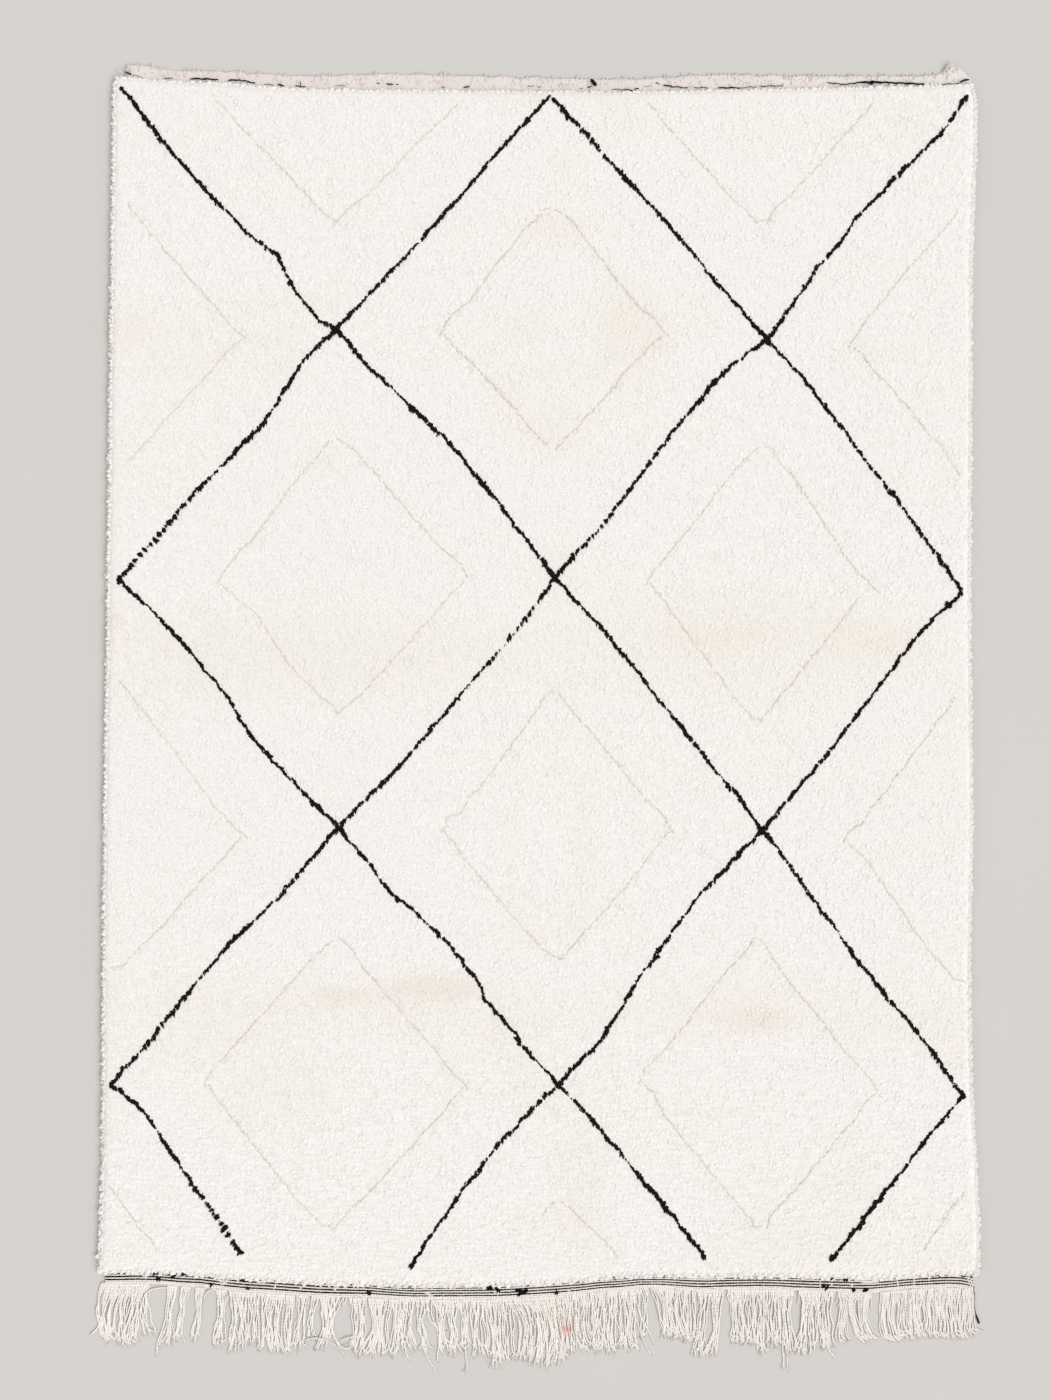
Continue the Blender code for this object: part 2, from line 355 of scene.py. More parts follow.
def make_piece(name, shape, material, replaces, plan=True, rounded=True):
    """Writes a Shape into a mesh object that rides on the rug. The map OFBake is the plan view, leaned a
    little so that upright faces have width on it too: u follows x + lean z, v follows y + lean z."""
    mesh = bpy.data.meshes.new(name)
    corners = np.concatenate([shape.quads.ravel(), shape.triangles.ravel()]).astype(np.int32)
    starts = np.concatenate(
        [
            np.arange(len(shape.quads)) * 4,
            len(shape.quads) * 4 + np.arange(len(shape.triangles)) * 3,
        ]
    ).astype(np.int32)
    mesh.vertices.add(len(shape.points))
    mesh.vertices.foreach_set("co", shape.points.astype(np.float32).ravel())
    mesh.loops.add(len(corners))
    mesh.loops.foreach_set("vertex_index", corners)
    mesh.polygons.add(len(starts))
    mesh.polygons.foreach_set("loop_start", starts)
    mesh.update(calc_edges=True)
    if rounded:
        mesh.shade_smooth()
    else:
        mesh.shade_flat()
    if plan:
        lean = 0.35
        flat = shape.points[:, :2] + lean * shape.points[:, 2:]
        flat = (flat - flat.min(axis=0)) / np.ptp(flat, axis=0)
        chart = mesh.uv_layers.new(name="OFBake")
        chart.uv.foreach_set("vector", (0.002 + 0.996 * flat[corners]).astype(np.float32).ravel())
    for attribute, values in shape.attributes.items():
        layer = mesh.attributes.new(attribute, "FLOAT", "POINT")
        layer.data.foreach_set("value", np.asarray(values, np.float32))
    mesh.materials.append(material)
    made = bpy.data.objects.new(name, mesh)
    bpy.context.scene.collection.objects.link(made)
    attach(made, "root")
    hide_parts(replaces)
    TRIANGLES[name] = shape.triangle_count()
    print(f"{name}: {TRIANGLES[name]} triangles, {len(shape.points)} points")
    return made


# %% [markdown]
# ## Unevenness
# Nothing woven by hand repeats exactly. Slow unevenness is a sum of a few waves of random direction, and
# all draws come from seeded generators, so the rug is the same each time.


# %% Waves
def slow_waves(x, y, size, seed, count=7):
    """Between about -1 and 1: 0.8 times the sum of `count` sine waves over the square root of their number.
    Each wave has a random direction and a length near `size`."""
    draw = np.random.default_rng(seed)
    total = np.zeros(np.broadcast(x, y).shape)
    for _ in range(count):
        heading, phase = draw.uniform(0, 2 * pi, 2)
        length = size * draw.uniform(0.6, 1.7)
        total += np.sin(2 * pi * (x * cos(heading) + y * sin(heading)) / length + phase)
    return total / count**0.5 * 0.8


PILE_TOP, SWELL = 0.020, 0.0012


def pile_swell(x, y):
    """How far the pile's top swells and dips: two long waves that cross, as on the solid."""
    across, down = x - SHIFT_X, SHIFT_Y - y
    return SWELL * (0.6 * np.sin(4.1 * across + 2.3 * down) + 0.4 * np.sin(6.7 * down - 3.0 * across))


# %% [markdown]
# ## Shader sums
# A finish is easier to read as arithmetic than as a web of nodes. `Wire` holds a socket and adds a Math
# node for each sign used on it, and `Finish` adds any other node by its type.


# %% Wires and finishes
class Wire:
    """A shader socket that can be added, taken away and multiplied, by another one or by a number."""

    def __init__(self, tree, socket):
        self.tree, self.socket = tree, socket

    def sum(self, operation, *values):
        node = self.tree.nodes.new("ShaderNodeMath")
        node.operation = operation
        for socket, value in zip(node.inputs, values):
            connect(self.tree, socket, value)
        return Wire(self.tree, node.outputs[0])

    def __add__(self, other):
        return self.sum("ADD", self, other)

    def __sub__(self, other):
        return self.sum("SUBTRACT", self, other)

    def __rsub__(self, other):
        return self.sum("SUBTRACT", other, self)

    def __mul__(self, other):
        return self.sum("MULTIPLY", self, other)

    def sine(self):
        return self.sum("SINE", self)

    def clamped(self):
        node = self.tree.nodes.new("ShaderNodeClamp")
        connect(self.tree, node.inputs["Value"], self)
        return Wire(self.tree, node.outputs[0])

    __radd__ = __add__
    __rmul__ = __mul__


def connect(tree, socket, value):
    """Links a wire to a socket, or sets the socket to a plain value."""
    if isinstance(value, Wire):
        tree.links.new(value.socket, socket)
    else:
        socket.default_value = value


class Finish:
    """A material under construction: constants on the shader's own sockets, everything else through
    nodes."""

    def __init__(self, name, **constants):
        self.material = bpy.data.materials.new(name)
        self.material.use_nodes = True
        self.tree = self.material.node_tree
        self.shader = self.tree.nodes["Principled BSDF"]
        for socket, value in constants.items():
            self.shader.inputs[socket.replace("_", " ")].default_value = value

    def add(self, kind, output=0, settings=None, **values):
        """A node of that type: first its settings, then its sockets, each by its name or, as i0 or i6, by
        its number. Gives the wire of its output."""
        node = self.tree.nodes.new(kind)
        for key, value in (settings or {}).items():
            setattr(node, key, value)
        for key, value in values.items():
            socket = node.inputs[int(key[1:])] if key[0] == "i" and key[1:].isdigit() else node.inputs[key]
            connect(self.tree, socket, value)
        return Wire(self.tree, node.outputs[output])

    def mix(self, share, first, second):
        """(1 - share) of the first colour and share of the second. Each is a wire, or red, green and
        blue."""
        first, second = [(*c, 1.0) if isinstance(c, tuple) and len(c) == 3 else c for c in (first, second)]
        return self.add("ShaderNodeMix", 2, {"data_type": "RGBA"}, i0=share, i6=first, i7=second)

    def place(self, scale=(1.0, 1.0, 1.0), turn=0.0):
        """The point on the piece in metres, stretched by scale and turned about z."""
        point = self.add("ShaderNodeTexCoord", "Object")
        return self.add("ShaderNodeMapping", Vector=point, Scale=scale, Rotation=(0.0, 0.0, turn))

    def noise(self, scale, detail=2.0, roughness=0.5, stretch=(1.0, 1.0, 1.0), turn=0.0):
        return self.add(
            "ShaderNodeTexNoise",
            "Fac",
            Vector=self.place(stretch, turn),
            Scale=scale,
            Detail=detail,
            Roughness=roughness,
        )

    def attribute(self, name):
        return self.add("ShaderNodeAttribute", "Fac", {"attribute_name": name})

    def bump(self, height, distance, strength=1.0):
        normal = self.add("ShaderNodeBump", Height=height, Distance=distance, Strength=strength)
        connect(self.tree, self.shader.inputs["Normal"], normal)

    def colour(self, value):
        connect(self.tree, self.shader.inputs["Base Color"], value)

    def roughness(self, value):
        connect(self.tree, self.shader.inputs["Roughness"], value)


# %% [markdown]
# ## Finishes
# Undyed sheep's wool is ivory, never white: it varies from lock to lock and, more slowly, from one batch of
# yarn to the next. It is matt, with a soft sheen where fibres catch the light at a low angle. A picture of
# wool could be laid on, but it would repeat, so the colour is summed from noises of several sizes and from
# the values that each lock carries. Part of that sum is painted shade: darker roots, and streaks, grain and
# ripples where the pile's own small shadows fall. Fibres show as fine streaks along each lock, so the bump
# is a noise that is stretched along the nap.

# %% Ivory wool
IVORY = (0.773, 0.750, 0.735)
IVORY_WARM = (0.728, 0.691, 0.592)
IVORY_ROSY = (0.720, 0.645, 0.588)
# A greyer tone: the diamonds' greyer yarn, and the tone that painted shade in the pile mixes towards.
IVORY_GREY_AND_SHADE = (0.60, 0.555, 0.51)
RIPPLE_SHADE_BELOW = 0.15  # metres from the middle: from there towards the fringe more painted shade of ripples lies on the pile


def ivory_wool(name, depth):
    """Ivory, warmed by the attribute `warmth` and by slow noise, reddened by `rosy`, and greyed along the
    diamonds by greyer yarn and painted shade of their partings. Painted shade darkens each root, by `depth`,
    and lies in streaks, grains and ripples."""
    finish = Finish(name, Roughness=0.95, Sheen_Weight=0.2, Sheen_Roughness=0.6, Specular_IOR_Level=0.2)
    cloudy = finish.noise(2.6, 3.0, 0.55, stretch=(0.5, 1.6, 1.0))
    warmth = finish.attribute("warmth") * (cloudy * 1.6 + 0.2) + (cloudy - 0.5) * 0.4
    warmth = warmth + finish.attribute("lock") * 0.10
    colour = finish.mix(warmth.clamped(), IVORY, IVORY_WARM)
    colour = finish.mix((finish.attribute("rosy") * (cloudy * 1.4 + 0.3)).clamped(), colour, IVORY_ROSY)
    # Greyer yarn along the diamonds, and painted shade of their partings.
    colour = finish.mix(finish.attribute("carved") * 0.75, colour, IVORY_GREY_AND_SHADE)
    streak_shade = finish.noise(95.0, 2.0, 0.6, stretch=(1.0, 0.45, 1.0), turn=0.25)
    grain_shade = finish.noise(210.0, 2.0, 0.6, stretch=(1.0, 0.8, 1.0))
    # Painted shade: darker at each root, and in streaks and grain along the fibres.
    shade = (1 - finish.attribute("tip")) * depth + (streak_shade - 0.5) * 0.35 + (grain_shade - 0.36) * 1.5
    # Painted shade of ripples in the pile, stronger towards the fringe.
    ripple_shade = finish.noise(120.0, 2.0, 0.55, stretch=(0.28, 1.5, 1.0))
    y = finish.add("ShaderNodeSeparateXYZ", "Y", Vector=finish.place())
    shade = shade + (ripple_shade - 0.5) * ((RIPPLE_SHADE_BELOW - y) * 0.8).clamped() * 1.1
    colour = finish.mix(shade.clamped(), colour, IVORY_GREY_AND_SHADE)
    finish.colour(colour)
    fibre = finish.noise(1100.0, 2.0, 0.6, stretch=(1.0, 0.22, 0.5))
    strand = finish.noise(260.0, 1.0, 0.5, stretch=(1.0, 0.35, 0.6))
    finish.bump(fibre * 0.4 + strand * 0.6, 0.0010, 0.40)
    return finish.material


# 0.12 is how much painted shade darkens each root.
wool_locks = ivory_wool("ivory wool locks", 0.12)
wool_bed = ivory_wool("ivory wool bed", 0.12)


# %% [markdown]
# The lattice is spun from the wool of dark sheep. It is almost black, with some brown where light grazes a
# fibre. One dark colour would look like plastic, so two browns are mixed by a noise.

# %% Dark wool
BLACK_WOOL, BROWN_WOOL = (0.0025, 0.002, 0.002), (0.014, 0.010, 0.009)


def dark_wool():
    """Near-black brown: a noise between two browns, which roughens it too, with fibre streaks as bump."""
    finish = Finish("near-black wool", Specular_IOR_Level=0.12)
    shade = finish.noise(180.0, 2.0, 0.6)
    finish.colour(finish.mix(shade, BLACK_WOOL, BROWN_WOOL))
    finish.roughness(0.85 + shade * 0.1)
    fibre = finish.noise(1400.0, 2.0, 0.6, stretch=(1.0, 0.25, 0.6))
    finish.bump(fibre, 0.0008, 0.6)
    return finish.material


near_black = dark_wool()

# %% [markdown]
# The heading and the band are weft-faced cloth: the warps make ribs in it, and each weft is a fine row
# across them. Woven yarns as meshes would take millions of faces. Ribs and rows are regular, so two sine
# waves of the point's own x and y draw them, slightly disturbed, and slow noise adds the stains that it
# has. The grooves between the ribs, and noise specks and tufts, are darkened in the colour as painted shade.

# %% Flat weave
WEFT_PITCH, RIB_PITCH = 0.0022, 0.0050
WEAVE_STAINED, WEAVE_CLEAN = (0.635, 0.57, 0.555), (0.79, 0.74, 0.72)
WEAVE_PALER, WEAVE_SHADED = (0.77, 0.725, 0.685), (0.50, 0.43, 0.40)


def flat_weave():
    """Weft-faced cloth: ribs over each pair of warps, fine weft rows across them, and slow stains, with
    painted shade between the ribs and in specks and tufts.
    """
    finish = Finish("flat-woven wool", Roughness=0.95, Sheen_Weight=0.2, Specular_IOR_Level=0.2)
    point = finish.add("ShaderNodeSeparateXYZ", "X", Vector=finish.place())
    split = point.socket.node.outputs
    x, y = Wire(finish.tree, split["X"]), Wire(finish.tree, split["Y"])
    wander = finish.noise(30.0, 2.0) - 0.5
    rib = ((x + wander * 0.004) * (2 * pi / RIB_PITCH)).sine() * 0.5 + 0.5
    weft = ((y + wander * 0.003) * (2 * pi / WEFT_PITCH)).sine() * 0.5 + 0.5
    stain = finish.noise(14.0, 3.0, 0.6, stretch=(0.6, 1.5, 1.0))
    speck = finish.noise(420.0, 2.0, 0.6)
    tuft = finish.noise(110.0, 2.0, 0.6, stretch=(1.0, 0.6, 1.0))
    colour = finish.mix(stain, WEAVE_STAINED, WEAVE_CLEAN)
    colour = finish.mix(finish.attribute("paler"), colour, WEAVE_PALER)
    # Painted shade: darker between the ribs and in noise specks and tufts.
    colour = finish.mix((1 - rib) * 0.16 + speck * 0.22 + tuft * 0.30 - 0.12, colour, WEAVE_SHADED)
    finish.colour(colour)
    finish.bump(rib * 0.35 + weft * 0.2 + speck * 0.25 + tuft * 0.6, 0.0012, 0.8)
    return finish.material


ribbed_weave = flat_weave()

# %% [markdown]
# The fringe is the bare warp, a plied cream yarn that is a little pinker than the pile. Its plies are real
# shape, so the finish has only the colour that comes and goes and the bump of the fibres.

# %% Warp yarn
YARN_CREAM, YARN_PINK, YARN_RED = (0.788, 0.748, 0.706), (0.768, 0.698, 0.650), (0.72, 0.40, 0.34)


def warp_yarn():
    """Cream warp with a faint pink cast that comes and goes from strand to strand and along each, and red
    where the attribute `blush` says so."""
    finish = Finish("cream warp yarn", Roughness=0.93, Sheen_Weight=0.2, Specular_IOR_Level=0.2)
    cast = (finish.noise(14.0, 2.0) * 0.7 + finish.attribute("lock") * 0.4).clamped()
    colour = finish.mix(cast, YARN_CREAM, YARN_PINK)
    colour = finish.mix(finish.attribute("blush") * 0.85, colour, YARN_RED)
    finish.colour(colour)
    fibre = finish.noise(900.0, 2.0, 0.6, stretch=(1.0, 0.3, 1.0))
    finish.bump(fibre, 0.0008, 0.5)
    return finish.material


cream_warp = warp_yarn()
print("finishes", [m.name for m in bpy.data.materials])

# %% [markdown]
# ## The woven cloth
# Under the pile the rug is one thin cloth, and at both ends the cloth shows. It is built as an upper and a
# lower grid with a wall round the rim, so it has its real thickness. Solidify could thicken one grid, but
# two let the underside lie flat while the upper face swells. The edge of the heading wavers, and its two
# corners are turned up a little where they have frayed.

# %% Cloth
CLOTH_TOP, CLOTH_BOTTOM = 0.0036, 0.0006
CLOTH_COLUMNS = 320
HEADING_ROWS, FIELD_ROWS, BAND_ROWS = 12, 12, 9
PALER_FROM, PALER_OVER, PALER_BY = 720, 70, 0.50  # the heading's right end: pixels across, and share
Ear = namedtuple("Ear", "x y reach lift")  # photograph pixels, and metres for the lift
EARS = records(Ear, [(130, 70, 11, 0.0055), (951, 66, 12, 0.0045)])


def cloth_rows():
    """One (first line, last line, share) for each row of the cloth's grid, plain end first."""
    heading = [("heading_edge", "pile_start", s) for s in np.linspace(0, 1, HEADING_ROWS)[:-1]]
    pile = [("pile_start", "pile_end", s) for s in np.linspace(0, 1, FIELD_ROWS)]
    band = [("pile_end", "cloth_end", s) for s in np.linspace(0, 1, BAND_ROWS)[1:]]
    return heading + pile + band


def ear_lift(x, y):
    """How far the frayed corners are turned up at (x, y): a bell of the distance from each ear's middle."""
    lift = np.zeros(np.shape(x))
    for ear in EARS:
        ear_x, ear_y = from_photo(ear.x, ear.y)
        away = np.hypot(x - ear_x, (y - ear_y) * 1.3) / (ear.reach * PIXEL)
        lift = lift + ear.lift * np.exp(-(away**2) * 2.5)
    return lift


def cloth_surface():
    """The upper face: x and y from the loom's tables, drawn in at the sides, raised in slow waves and at
    the frayed corners."""
    u = np.linspace(0, 1, CLOTH_COLUMNS)
    rows = []
    for index, (first, last, share) in enumerate(cloth_rows()):
        depth = np.clip((index - HEADING_ROWS) / FIELD_ROWS, 0, 1)
        inset = [a + (b - a) * depth for a, b in zip(HEADING_INSET, BAND_INSET)]
        x, y = field(u, share, first, last, inset)
        rows.append(np.stack([x, y], axis=1))
    plan = np.array(rows)
    x, y = plan[..., 0], plan[..., 1]
    end_waver = np.zeros(len(rows))
    end_waver[0] = 1.0
    slow, quick = slow_waves(x, 0 * x, 0.05, seed=3), slow_waves(x, 0 * x, 0.015, seed=5)
    y = y + end_waver[:, None] * (0.0020 * slow + 0.0014 * quick)
    height = CLOTH_TOP + 0.0004 * slow_waves(x, y, 0.05, seed=4) + ear_lift(x, y)
    return np.stack([x, y, height], axis=-1)


cloth_top = cloth_surface()
cloth_under = cloth_top.copy()
lifted = np.maximum(cloth_top[..., 2] - CLOTH_TOP - 0.0006, 0.0)
cloth_under[..., 2] = CLOTH_BOTTOM + lifted
cloth_shape = closed_sheet(cloth_top, cloth_under)
cloth_across, _ = to_photo(cloth_shape.points[:, 0], cloth_shape.points[:, 1])
in_band = cloth_shape.points[:, 1] < 0
heading_paler = PALER_BY * ease((cloth_across - PALER_FROM) / PALER_OVER)
cloth_shape.attributes["paler"] = np.maximum(in_band, heading_paler)
woven_cloth = make_piece("woven_cloth", cloth_shape, ribbed_weave, "woven_rug", plan=False)

# %% [markdown]
# ## The bed of the pile
# Close to the cloth the locks stand so tight that nothing shows between them. More locks could fill that
# part, at many times the weight, and would hardly be seen. One closed surface stands for it instead: it
# rounds over at its four edges, as the solid does, and is a little rough.

# %% Bed
BED_INSET = 0.006
SHOULDER = 0.014
BED_FOOT, BED_SIDE, BED_TOP = 0.0020, 0.0075, 0.0181
BED_PITCH = 0.0142


def bed_height(edge_distance):
    """Height of the bed at a distance from the pile's outline: a quarter circle over the shoulder."""
    share = np.clip((edge_distance - BED_INSET) / SHOULDER, 0, 1)
    return BED_SIDE + (BED_TOP - BED_SIDE) * np.sqrt(1 - (1 - share) ** 2)


def edge_distances(u, v):
    """Metres to the left and right selvedge, the first and the last row of knots."""
    return u * PILE_WIDTH, (1 - u) * PILE_WIDTH, v * PILE_LENGTH, (1 - v) * PILE_LENGTH


def nearest_edge(u, v):
    """Metres to the nearest of the four."""
    return np.minimum.reduce(np.broadcast_arrays(*edge_distances(u, v)))


def bed_stations(size):
    """Shares along one side of the bed: close together over the shoulders, even between them."""
    over = BED_INSET + SHOULDER * (1 - np.cos(np.linspace(0, pi / 2, 5)))[:-1]
    count = int((size - 2 * BED_INSET - 2 * SHOULDER) / BED_PITCH)
    even = np.linspace(BED_INSET + SHOULDER, size - BED_INSET - SHOULDER, count)
    return np.concatenate([over, even, size - over[::-1]]) / size


bed_u, bed_v = np.meshgrid(bed_stations(PILE_WIDTH), bed_stations(PILE_LENGTH))
bed_x, bed_y = field(bed_u, bed_v)
bed_draw = np.random.default_rng(21)
bed_z = bed_height(nearest_edge(bed_u, bed_v)) + pile_swell(bed_x, bed_y)
bed_z = bed_z + bed_draw.uniform(-0.0006, 0.0006, bed_z.shape)
bed_shape = mound(np.stack([bed_x, bed_y, bed_z], axis=-1), BED_FOOT)

# %% [markdown]
# ## Charts
# The weaver draws the lattice freehand, knot by knot: four zigzag lines of near-black wool that cross at
# the lozenges' corners. Inside the lozenges run fainter diamonds, where the pile is parted over a row of
# greyer knots. Both could be drawn by hand as curves. Here they are charted by their turning points, which
# are easy to check and to correct, and a small wobble is added along each line.

# %% Lattice and diamonds
LATTICE = [
    [(121, 88), (178, 160), (245, 231), (277, 254), (294, 289), (319, 319), (336, 330), (372, 370),
     (445, 437), (500, 505), (555, 577), (612, 640), (690, 738), (763, 828), (828, 920), (884, 993),
     (905, 1015), (962, 1093), (930, 1133), (905, 1165), (833, 1256)],
    [(550, 97), (519, 129), (452, 207), (380, 283), (336, 330), (306, 358), (262, 425), (190, 498),
     (118, 580), (150, 607), (215, 680), (262, 748), (338, 827), (365, 856), (377, 874), (392, 892),
     (415, 910), (441, 935), (458, 954), (476, 977), (485, 998), (501, 1015), (524, 1046), (558, 1083),
     (590, 1115), (640, 1175), (706, 1256)],
    [(553, 98), (588, 136), (625, 179), (668, 224), (720, 287), (766, 339), (808, 385), (873, 470),
     (905, 510), (962, 592), (930, 620), (893, 667), (825, 755), (763, 828), (700, 893), (640, 975),
     (600, 1040), (558, 1083), (500, 1140), (462, 1190), (412, 1263)],
    [(966, 97), (943, 131), (912, 161), (891, 183), (860, 213), (839, 244), (815, 270), (793, 304),
     (766, 339), (725, 370), (662, 445), (610, 515), (555, 577), (520, 625), (458, 697), (400, 765),
     (338, 827), (275, 900), (233, 940), (190, 990), (112, 1083), (144, 1109), (160, 1131), (190, 1178),
     (205, 1195), (244, 1254)],
]

DIAMONDS = [
    [(554, 208), (572, 221), (586, 240), (639, 308), (653, 318), (666, 334), (650, 348), (632, 365),
     (584, 421), (571, 434), (558, 448)],
    [(545, 442), (531, 429), (518, 413), (473, 364), (453, 345), (443, 332), (453, 313), (470, 301),
     (520, 236), (535, 220), (545, 210), (554, 208)],
    [(335, 436), (348, 445), (357, 453), (366, 463), (443, 550), (459, 563), (468, 577), (462, 584),
     (450, 596), (441, 606), (368, 688), (352, 702), (338, 711), (321, 696), (311, 686), (301, 678),
     (270, 635), (258, 615), (237, 598), (219, 581), (227, 568), (243, 549), (252, 540), (282, 500),
     (304, 471), (335, 436)],
    [(762, 444), (771, 448), (780, 462), (793, 476), (850, 563), (863, 577), (877, 589)],
    [(862, 594), (852, 605), (841, 621), (790, 685), (779, 696), (768, 711), (760, 720), (752, 717),
     (741, 703), (727, 688), (673, 613), (663, 599), (648, 580), (657, 566), (673, 548), (729, 478),
     (751, 453), (762, 444)],
    [(556, 689), (571, 708), (585, 724), (644, 796), (661, 812), (673, 829), (664, 837), (651, 855),
     (588, 929), (567, 951), (561, 956), (553, 954), (537, 941), (522, 926), (465, 858), (453, 841),
     (443, 829), (449, 816), (461, 812), (472, 796), (528, 723), (546, 696), (556, 689)],
    [(336, 934), (350, 946), (367, 970), (443, 1059), (453, 1071), (465, 1084), (459, 1091), (442, 1112),
     (369, 1192), (345, 1215), (338, 1225), (328, 1225), (322, 1222), (303, 1204), (232, 1115), (218, 1096),
     (207, 1081), (216, 1066), (229, 1051), (302, 970), (317, 953), (328, 943), (336, 934)],
    [(757, 934), (764, 945), (780, 968), (848, 1053), (864, 1070), (878, 1090), (867, 1099), (855, 1117),
     (787, 1197), (771, 1214), (767, 1224), (754, 1224), (749, 1215), (732, 1196), (665, 1115), (652, 1090),
     (640, 1079), (642, 1073), (650, 1064), (663, 1050), (729, 968), (746, 949), (757, 934)],
    [(212, 96), (307, 195), (322, 211), (333, 220)],
    [(337, 224), (354, 205), (367, 196), (462, 100)],
    [(645, 100), (728, 195), (744, 208), (754, 220), (768, 220), (778, 207), (792, 195), (876, 100)],
    [(124, 201), (210, 301), (226, 319), (244, 337), (233, 347), (223, 358), (130, 460)],
    [(119, 680), (132, 695), (139, 706), (158, 727), (213, 802), (227, 818), (244, 834), (238, 840),
     (227, 852), (216, 865), (158, 930), (140, 947), (126, 963), (116, 967)],
    [(108, 1182), (117, 1193), (128, 1208), (140, 1225), (155, 1241)],
    [(960, 210), (878, 305), (858, 331), (850, 344), (860, 353), (873, 369), (916, 417), (925, 430),
     (937, 442), (946, 455), (957, 474)],
    [(955, 693), (948, 708), (932, 728), (871, 808), (862, 823), (851, 830), (845, 839), (853, 848),
     (864, 857), (873, 869), (931, 952), (941, 964), (952, 976), (961, 979)],
    [(967, 1187), (956, 1201), (945, 1216), (934, 1233), (926, 1246)],
    [(545, 1211), (558, 1197), (581, 1217), (599, 1234), (615, 1252)],
]


class Chart:
    """Drawn lines, cut into straight pieces. Each piece knows its ends in metres, its direction, and how
    far along its line it starts. Lines start ten metres apart in that measure, so each wobbles in its own
    way."""

    def __init__(self, lines, wobble, seed):
        starts, ends, measured = [], [], []
        for number, line in enumerate(lines):
            corners = np.stack(from_photo(*np.array(line, float).T), axis=1)
            lengths = np.linalg.norm(np.diff(corners, axis=0), axis=1)
            starts.append(corners[:-1])
            ends.append(corners[1:])
            measured.append(10.0 * number + np.concatenate([[0.0], np.cumsum(lengths)[:-1]]))
        self.start, self.end = np.concatenate(starts), np.concatenate(ends)
        self.measured = np.concatenate(measured)
        self.length = np.linalg.norm(self.end - self.start, axis=1)
        self.heading = (self.end - self.start) / self.length[:, None]
        self.wobble, self.seed = wobble, seed

    def drift(self, measure):
        """How far the line strays to its left at that measure along it, in metres."""
        slow = slow_waves(measure, 0 * measure, 0.11, self.seed)
        quick = slow_waves(measure, 0 * measure, 0.033, self.seed + 1)
        return self.wobble * (0.6 * slow + 0.5 * quick)

    def walk(self, spacing, jitter, draw):
        """Places along all lines: point, heading and measure, one every `spacing` metres."""
        places, headings, measures = [], [], []
        for start, heading, length, first in zip(self.start, self.heading, self.length, self.measured):
            along = np.arange(0.5 * spacing, length, spacing)
            along = np.clip(along + draw.uniform(-jitter, jitter, len(along)), 0, length)
            measure = first + along
            left = np.array([-heading[1], heading[0]])
            places.append(start + along[:, None] * heading + self.drift(measure)[:, None] * left)
            headings.append(np.repeat(heading[None], len(along), axis=0))
            measures.append(measure)
        return np.concatenate(places), np.concatenate(headings), np.concatenate(measures)

    def beside(self, x, y):
        """For each place its distance from the nearest line, how far that is to the line's left, and the x
        and y of the line's left-hand direction."""
        best = np.full(x.shape, 1e9)
        signed, left_x, left_y = np.zeros(x.shape), np.zeros(x.shape), np.zeros(x.shape)
        for start, heading, length, first in zip(self.start, self.heading, self.length, self.measured):
            away_x, away_y = x - start[0], y - start[1]
            along = np.clip(away_x * heading[0] + away_y * heading[1], 0, length)
            gap_x, gap_y = away_x - along * heading[0], away_y - along * heading[1]
            side = -gap_x * heading[1] + gap_y * heading[0] - self.drift(first + along)
            beyond = gap_x * heading[0] + gap_y * heading[1]
            apart = np.hypot(side, beyond)
            closer = apart < best
            best = np.where(closer, apart, best)
            signed = np.where(closer, side, signed)
            left_x, left_y = np.where(closer, -heading[1], left_x), np.where(closer, heading[0], left_y)
        return best, signed, left_x, left_y


lattice = Chart(LATTICE, wobble=1.3 * PIXEL, seed=31)
diamonds = Chart(DIAMONDS, wobble=1.1 * PIXEL, seed=41)
print(f"lattice {lattice.length.sum():.2f} m, diamonds {diamonds.length.sum():.2f} m")

# %% [markdown]
# ## The nap
# Knotted pile leans, mostly down towards the fringe, where it was beaten and combed. It leans a little to
# one side or the other from place to place, and that shows in the slant of the dark strokes. The nap is
# charted at a few places, in degrees from the x axis, and blended between them by distance.

# %% Nap
Nap = namedtuple("Nap", "x y heading")
NAPS = records(Nap, [
    (120, 100, -60), (550, 110, -98), (620, 180, -112), (900, 150, -110), (330, 330, -85), (766, 345, -65),
    (135, 560, -32), (160, 640, -55), (555, 577, -75), (940, 592, -115), (340, 830, -78), (763, 830, -95),
    (130, 1060, -70), (530, 1100, -62), (600, 1100, -95), (940, 1110, -120), (215, 1225, -148),
    (420, 1250, -120), (700, 1240, -100), (860, 1220, -135),
])


def nap(x, y):
    """Unit direction of the nap: the charted headings, each weighed by one over its distance squared."""
    x_pixel, y_pixel = to_photo(x, y)
    lean_x, lean_y = np.zeros(x.shape), np.zeros(x.shape)
    for place in NAPS:
        weight = 1 / ((x_pixel - place.x) ** 2 + (y_pixel - place.y) ** 2 + 900.0)
        lean_x += weight * cos(radians(place.heading))
        lean_y += weight * sin(radians(place.heading))
    length = np.hypot(lean_x, lean_y)
    return lean_x / length, lean_y / length


# %% [markdown]
# ## Batches of yarn
# Hand-spun wool varies from one batch to the next. Some bands of the pile are a little warmer, beige or
# pinkish. Noise alone would put them anywhere, so they are charted as level patches with soft edges, one
# table for the warm ones and one for the rosy ones. They go into two attributes that the finish reads.

